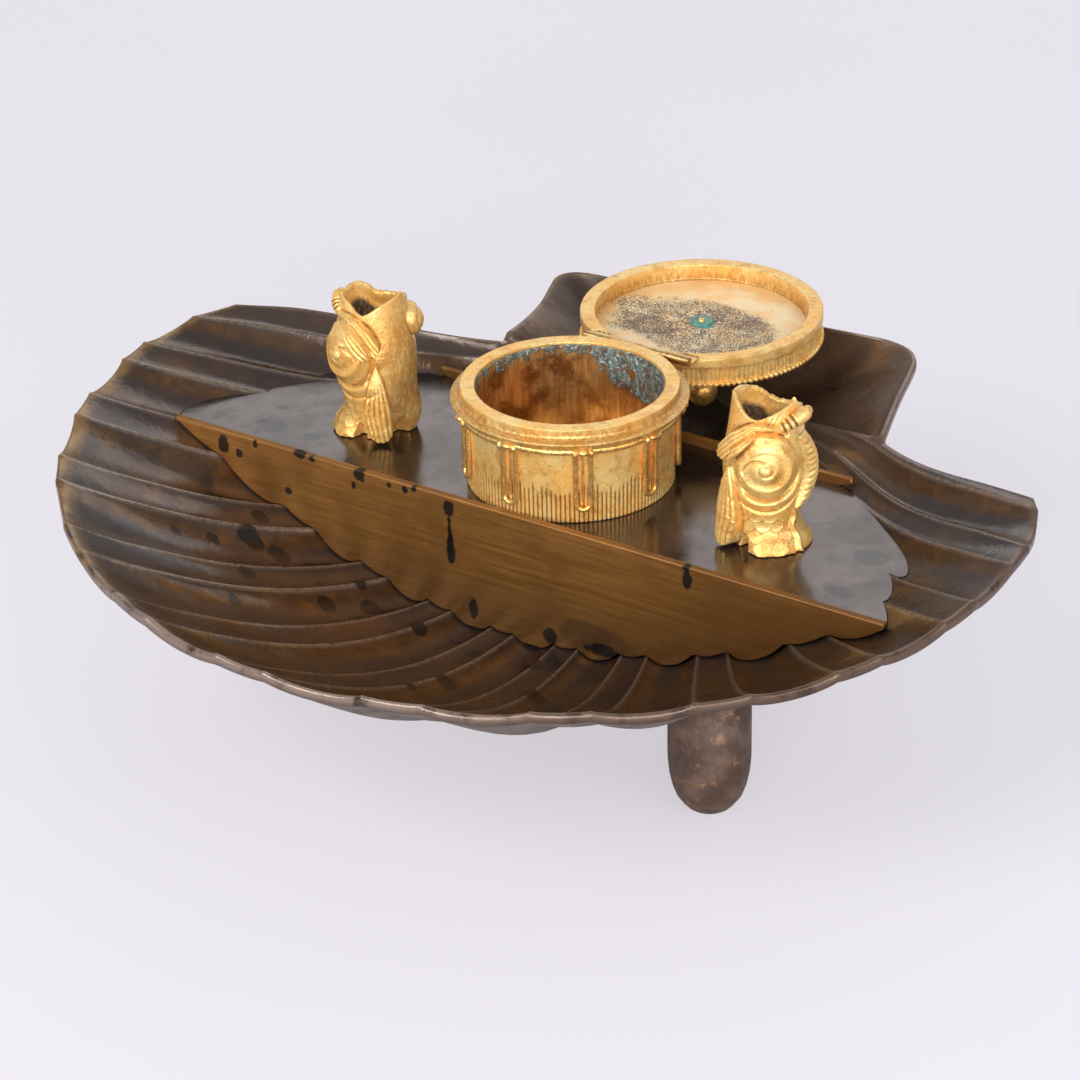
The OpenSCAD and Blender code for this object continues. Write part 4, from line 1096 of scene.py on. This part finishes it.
@cache
def lid_floor():
    f = Finish("lid_recess")
    f.colour = f.mix(f.flecks(7, 4, 0.55, 0.38, 0.62), (1.0, 0.66, 0.30), (1.0, 0.80, 0.48))
    # Dark specks crowd round the middle
    middle = np.array([*LID, MOUTH + RECESS]) + [-2, -3, 0]
    crowd = f.patch(middle, (26, 17, 30), 1.1)
    left = f.patch(middle + [-12, -6, 0], (12, 7, 30), 1.2)
    right = f.patch(middle + [9, 9, 0], (12, 6, 30), 1.2)
    dense = f.plus(crowd, 0.11, f.times(f.math("MAXIMUM", left, right), 0.035))
    grain = f.math("ADD", f.plus(f.noise(4, 4, 0.7), 0.25, f.noise(0.6, 5, 0.8)), dense)
    specks = f.times(f.span(grain, 0.70, 0.75), f.math("ADD", crowd, 0.15, clamp=True))
    f.cover(specks, (0.045, 0.028, 0.034), 0.9)
    green = f.patch((LID[0] + 1.2, LID[1] - 1, MOUTH + RECESS), (3.4, 2.6, 9), 0.7)
    f.cover(green, f.mix(f.flecks(1.2, 4, 0.55, 0.4, 0.6), (0.10, 0.30, 0.27), (0.22, 0.52, 0.46)))
    f.bump(f.noise(0.9, 4, 0.7), 0.07)
    metal = f.span(f.math("MAXIMUM", specks, green), 0.2, 0.9, 0.25, 0.1)
    return f.done(metal, f.flecks(2, 4, 0.55, 0.3, 0.7, 0.38, 0.55))


# Dark spots on the front wall: place about the pot's axis and the deck, and radii, in mm
BLOTS = (((-101.5, -2.4), (2.6, 3.2)), ((-95.8, -3.9), (1.5, 1.7)), ((-89.6, 0.6), (1.0, 1.6)),
         ((-78.0, -11.7), (1.7, 1.3)), ((-73.5, 1.4), (2.7, 1.4)), ((-68.8, 1.2), (1.4, 1.0)),
         ((-51.8, 0.6), (2.6, 2.4)), ((-53.9, -3.3), (0.9, 1.6)), ((-41.2, 0.1), (1.2, 1.0)),
         ((-35.5, 0.1), (1.3, 1.3)), ((-32.4, 1.2), (1.3, 1.1)), ((-20.4, -1.7), (2.7, 2.5)),
         ((-20.1, -12.0), (1.0, 9.0)), ((-19.8, -14.8), (1.8, 5.6)), ((-12.4, -32.2), (2.0, 3.8)),
         ((14.0, -33.2), (3.1, 3.0)), ((31.9, -32.8), (6.5, 2.6)), ((60.2, -1.8), (1.8, 3.8)),
         ((59.7, 1.6), (1.3, 1.2)))


@cache
def wall_brass():
    f = Finish("brushed_olive_brass")
    streak = f.noise(1.0, 5, 0.6, (0.04, 1, 1))
    cloud = f.noise(18, 4, 0.6)
    x, _, z = f.xyz()
    f.colour = f.mix(f.span(streak, 0.30, 0.70), (0.30, 0.132, 0.031), (0.42, 0.196, 0.050))
    f.cover(f.span(cloud, 0.45, 0.66, 0.0, 0.5), (0.24, 0.105, 0.030))
    f.cover(f.span(z, 0.056, 0.034, 0.0, 0.5), (0.13, 0.062, 0.022))
    f.cover(f.span(x, 0.02, 0.09, 0.0, 0.55), (0.17, 0.068, 0.018))
    f.cover(f.times(f.flecks(0.45, 2, 0.7, 0.66, 0.72), f.span(cloud, 0.5, 0.35)), (0.62, 0.40, 0.16), 0.5)
    f.cover(f.flecks(1.4, 2, 0.6, 0.74, 0.76), (0.03, 0.017, 0.010), 0.8)
    f.cover(f.patch((POT[0] + 30, WALL_LOW[1], DECK - 30), (13, 6, 5), 1.2), (0.10, 0.052, 0.024), 0.5)
    for (right, up), (wide, tall) in BLOTS:
        blot = f.patch((POT[0] + right, WALL_LOW[1], DECK + up), (wide * 0.8, 3, tall * 0.85), 1.3)
        f.cover(blot, BLACK_STAIN, 0.92)
    f.bump(streak, 0.02)
    f.bump(f.noise(6, 3), 0.08)
    return f.done(0.6, f.span(streak, 0.3, 0.7, 0.34, 0.44))


# Faint stains on the deck: place about the pot's axis and radii, in mm
STAINS = (((-93.7, -19.0), (5.4, 3.6)), ((-79.0, -19.4), (3.0, 2.2)), ((101.0, -20), (5.0, 2.6)),
          ((98.0, 2.0), (5.4, 4.4)), ((-98, -8), (2.2, 1.6)), ((-60, -27), (5, 2)))


@cache
def deck_metal():
    f = Finish("dark_deck")
    f.colour = f.mix(f.flecks(20, 5, 0.6, 0.4, 0.65), (0.098, 0.084, 0.080), (0.138, 0.116, 0.108))
    for place, (wide, deep) in STAINS:
        f.cover(f.patch((*(POT + place), DECK), (wide, deep, 20), 0.35), (0.062, 0.068, 0.066), 0.7)
    f.cover(f.flecks(0.7, 3, 0.7, 0.70, 0.78), (0.24, 0.20, 0.17), 0.4)
    f.bump(f.noise(14, 3), 0.10)
    f.bump(f.noise(0.8, 3), 0.012)
    return f.done(0.9, f.flecks(6, 5, 0.65, 0.35, 0.7, 0.15, 0.26))


def aged(name, metallic, rough, ground, tones, layers, grain):
    """A metal of two tones under layers of patches; rough, ground and patches are what flecks() takes."""
    f = Finish(name)
    f.colour = f.mix(f.flecks(*ground), *tones)
    for patches, colour, share in layers:
        f.cover(f.flecks(*patches), colour, share)
    for noise, depth in grain:
        f.bump(f.noise(*noise), depth)
    return f.done(metallic, f.flecks(*rough))


FOOT_BRONZE = aged("foot_bronze", 0.4, (5, 4, 0.55, 0.3, 0.7, 0.42, 0.6), (9, 5, 0.65, 0.4, 0.65),
                   ((0.085, 0.052, 0.036), (0.17, 0.105, 0.075)),
                   [((4, 5, 0.7, 0.58, 0.68), (0.28, 0.15, 0.075), 1),
                    ((0.6, 2, 0.7, 0.66, 0.74), (0.36, 0.27, 0.20), 0.5)],
                   [((2.5, 4, 0.6), 0.15), ((0.8, 3, 0.6), 0.06)])
HINGE_GILT = aged("hinge_gilt", 1.0, (1.5, 4, 0.55, 0.3, 0.7, 0.3, 0.45), (3, 4, 0.55, 0.4, 0.62),
                  ((0.62, 0.40, 0.15), (0.86, 0.62, 0.28)),
                  [((0.9, 4, 0.7, 0.58, 0.70, 0.0, 0.7), (0.12, 0.06, 0.025), 1)], [((0.8, 3), 0.04)])
VERDIGRIS = aged("verdigris", 0.1, (1.4, 4, 0.55, 0.3, 0.7, 0.5, 0.7), (1.1, 4, 0.7, 0.4, 0.6),
                 ((0.060, 0.25, 0.22), (0.20, 0.50, 0.43)),
                 [((0.6, 3, 0.7, 0.58, 0.66), (0.50, 0.33, 0.13), 1)], [((0.6, 4, 0.7), 0.12)])
STEEL = aged("old_steel", 0.85, (1.4, 4, 0.55, 0.3, 0.7, 0.34, 0.55), (2.2, 5, 0.65, 0.42, 0.62),
             ((0.17, 0.15, 0.13), (0.33, 0.30, 0.27)),
             [((1.2, 4, 0.7, 0.60, 0.72, 0.0, 0.8), (0.12, 0.05, 0.02), 1)], [((0.7, 3), 0.05)])


# ---------------- the object
shell_tray()
deck()
walls()
for foot_node in ("foot_front_right", "foot_front_left", "foot_back"):
    foot(foot_node)
pot_drum()
pot_collar()
pot_cord()
pot_floor()
lid_body()
lid_beads()
lid_knob()
fish("fish_pen_holder_left", "fish_left", LEFT, False)
fish("fish_pen_holder_right", "fish_right", RIGHT, True)

# Small parts stay as the CAD has them and get a finish
SMALL_PARTS = {
    "pot_hinge_leaf": HINGE_GILT, "lid_hinge_leaf": HINGE_GILT, "hinge_pin": HINGE_GILT, "lid_knob_washer": VERDIGRIS,
    "foot_studs": STEEL, "tie_bolt": STEEL, "tie_washer": STEEL, "tie_nut": STEEL, "fish_screws": STEEL,
}
for node_name, finish in SMALL_PARTS.items():
    materials = frame["nodes"][node_name].data.materials
    materials.clear()
    materials.append(finish)


# ---------------- stage, light and camera
BACKDROP = (0.90, 0.865, 0.925)
GLOW = 0.58  # how much of the backdrop's tone doesn't depend on the light
FLOOR_REACH = 6.0
SKY = (0.86, 0.86, 0.90)
SKY_STRENGTH = 0.42
AIM = (0, 0, 0.08)
LAMPS = (("key", (-0.35, -1.3, 1.15), (1.0, 0.7), 14), ("front", (0.85, -1.45, 0.42), (1.2, 0.6), 19),
         ("fill", (1.3, -0.5, 0.8), (1.0, 0.8), 6), ("back", (-0.5, 1.6, 1.1), (2.0, 0.8), 6))

# The camera: its direction in degrees, and the point of the frame's middle at the rim's height, from the pot's axis
AZIMUTH, HEIGHT, ROLL = 34.4, 27.75, -1.17
LOOK_AT = (46.35, -84.30)
DISTANCE = 1.0574
FRAME_PX = 1080  # sizes in the photo's pixels
FOCAL_PX = 4000
SHIFT_PX = 1.5
SENSOR = 36


def link(thing):
    bpy.context.scene.collection.objects.link(thing)
    return thing


def floor():
    mesh = bpy.data.meshes.new("floor")
    corners = [(x * FLOOR_REACH, y * FLOOR_REACH, 0) for x, y in ((-1, -1), (1, -1), (1, 1), (-1, 1))]
    mesh.from_pydata(corners, [], [(0, 1, 2, 3)])
    f = Finish("pale_floor")
    f.colour = f.mix(f.flecks(400, 2, 0.55, 0.3, 0.7), BACKDROP, [c * 0.985 for c in BACKDROP])
    mesh.materials.append(f.done(0.0, 0.9, Specular_IOR_Level=0.1))
    # Seen by the camera, part of the backdrop's tone doesn't depend on the light
    glow = f.times(f.add("LightPath", output="Is Camera Ray"), GLOW)
    shaders = {"Fac": glow, 1: f.shader.outputs["BSDF"], 2: f.add("Emission", {"Color": f.colour})}
    f.feed(f.nodes["Material Output"].inputs["Surface"], f.add("MixShader", shaders))
    link(bpy.data.objects.new("floor", mesh))


def lamp(name, place, size, power):
    data = bpy.data.lights.new(name, "AREA")
    data.shape = "RECTANGLE"
    data.size, data.size_y = size
    data.energy = power
    thing = link(bpy.data.objects.new(name, data))
    thing.location = place
    thing.rotation_euler = (Vector(AIM) - Vector(place)).to_track_quat("-Z", "Y").to_euler()


def world():
    sky = bpy.data.worlds.new("studio")
    sky.use_nodes = True
    bpy.context.scene.world = sky
    back = sky.node_tree.nodes["Background"]
    back.inputs["Color"].default_value = (*SKY, 1)
    back.inputs["Strength"].default_value = SKY_STRENGTH


def camera():
    azimuth, height, roll = np.radians([AZIMUTH, HEIGHT, ROLL])
    target = np.array([POT[0] + LOOK_AT[0], POT[1] + LOOK_AT[1], RIM_TOP]) * MM
    back = np.array([math.sin(azimuth) * math.cos(height), -math.cos(azimuth) * math.cos(height), math.sin(height)])
    across = np.array([math.cos(azimuth), math.sin(azimuth), 0])
    up = np.cross(back, across)
    right = math.cos(roll) * across + math.sin(roll) * up
    top = -math.sin(roll) * across + math.cos(roll) * up
    data = bpy.data.cameras.new("camera")
    data.sensor_width = SENSOR
    data.lens = FOCAL_PX / FRAME_PX * SENSOR
    data.shift_y = -SHIFT_PX / FRAME_PX
    data.clip_end = 30
    thing = link(bpy.data.objects.new("camera", data))
    columns = np.stack([right, top, back, target + back * DISTANCE], 1)
    thing.matrix_world = Matrix([*columns.tolist(), [0, 0, 0, 1]])
    bpy.context.scene.camera = thing


floor()
world()
camera()
for settings in LAMPS:
    lamp(*settings)
bpy.context.scene.view_settings.view_transform = "Standard"
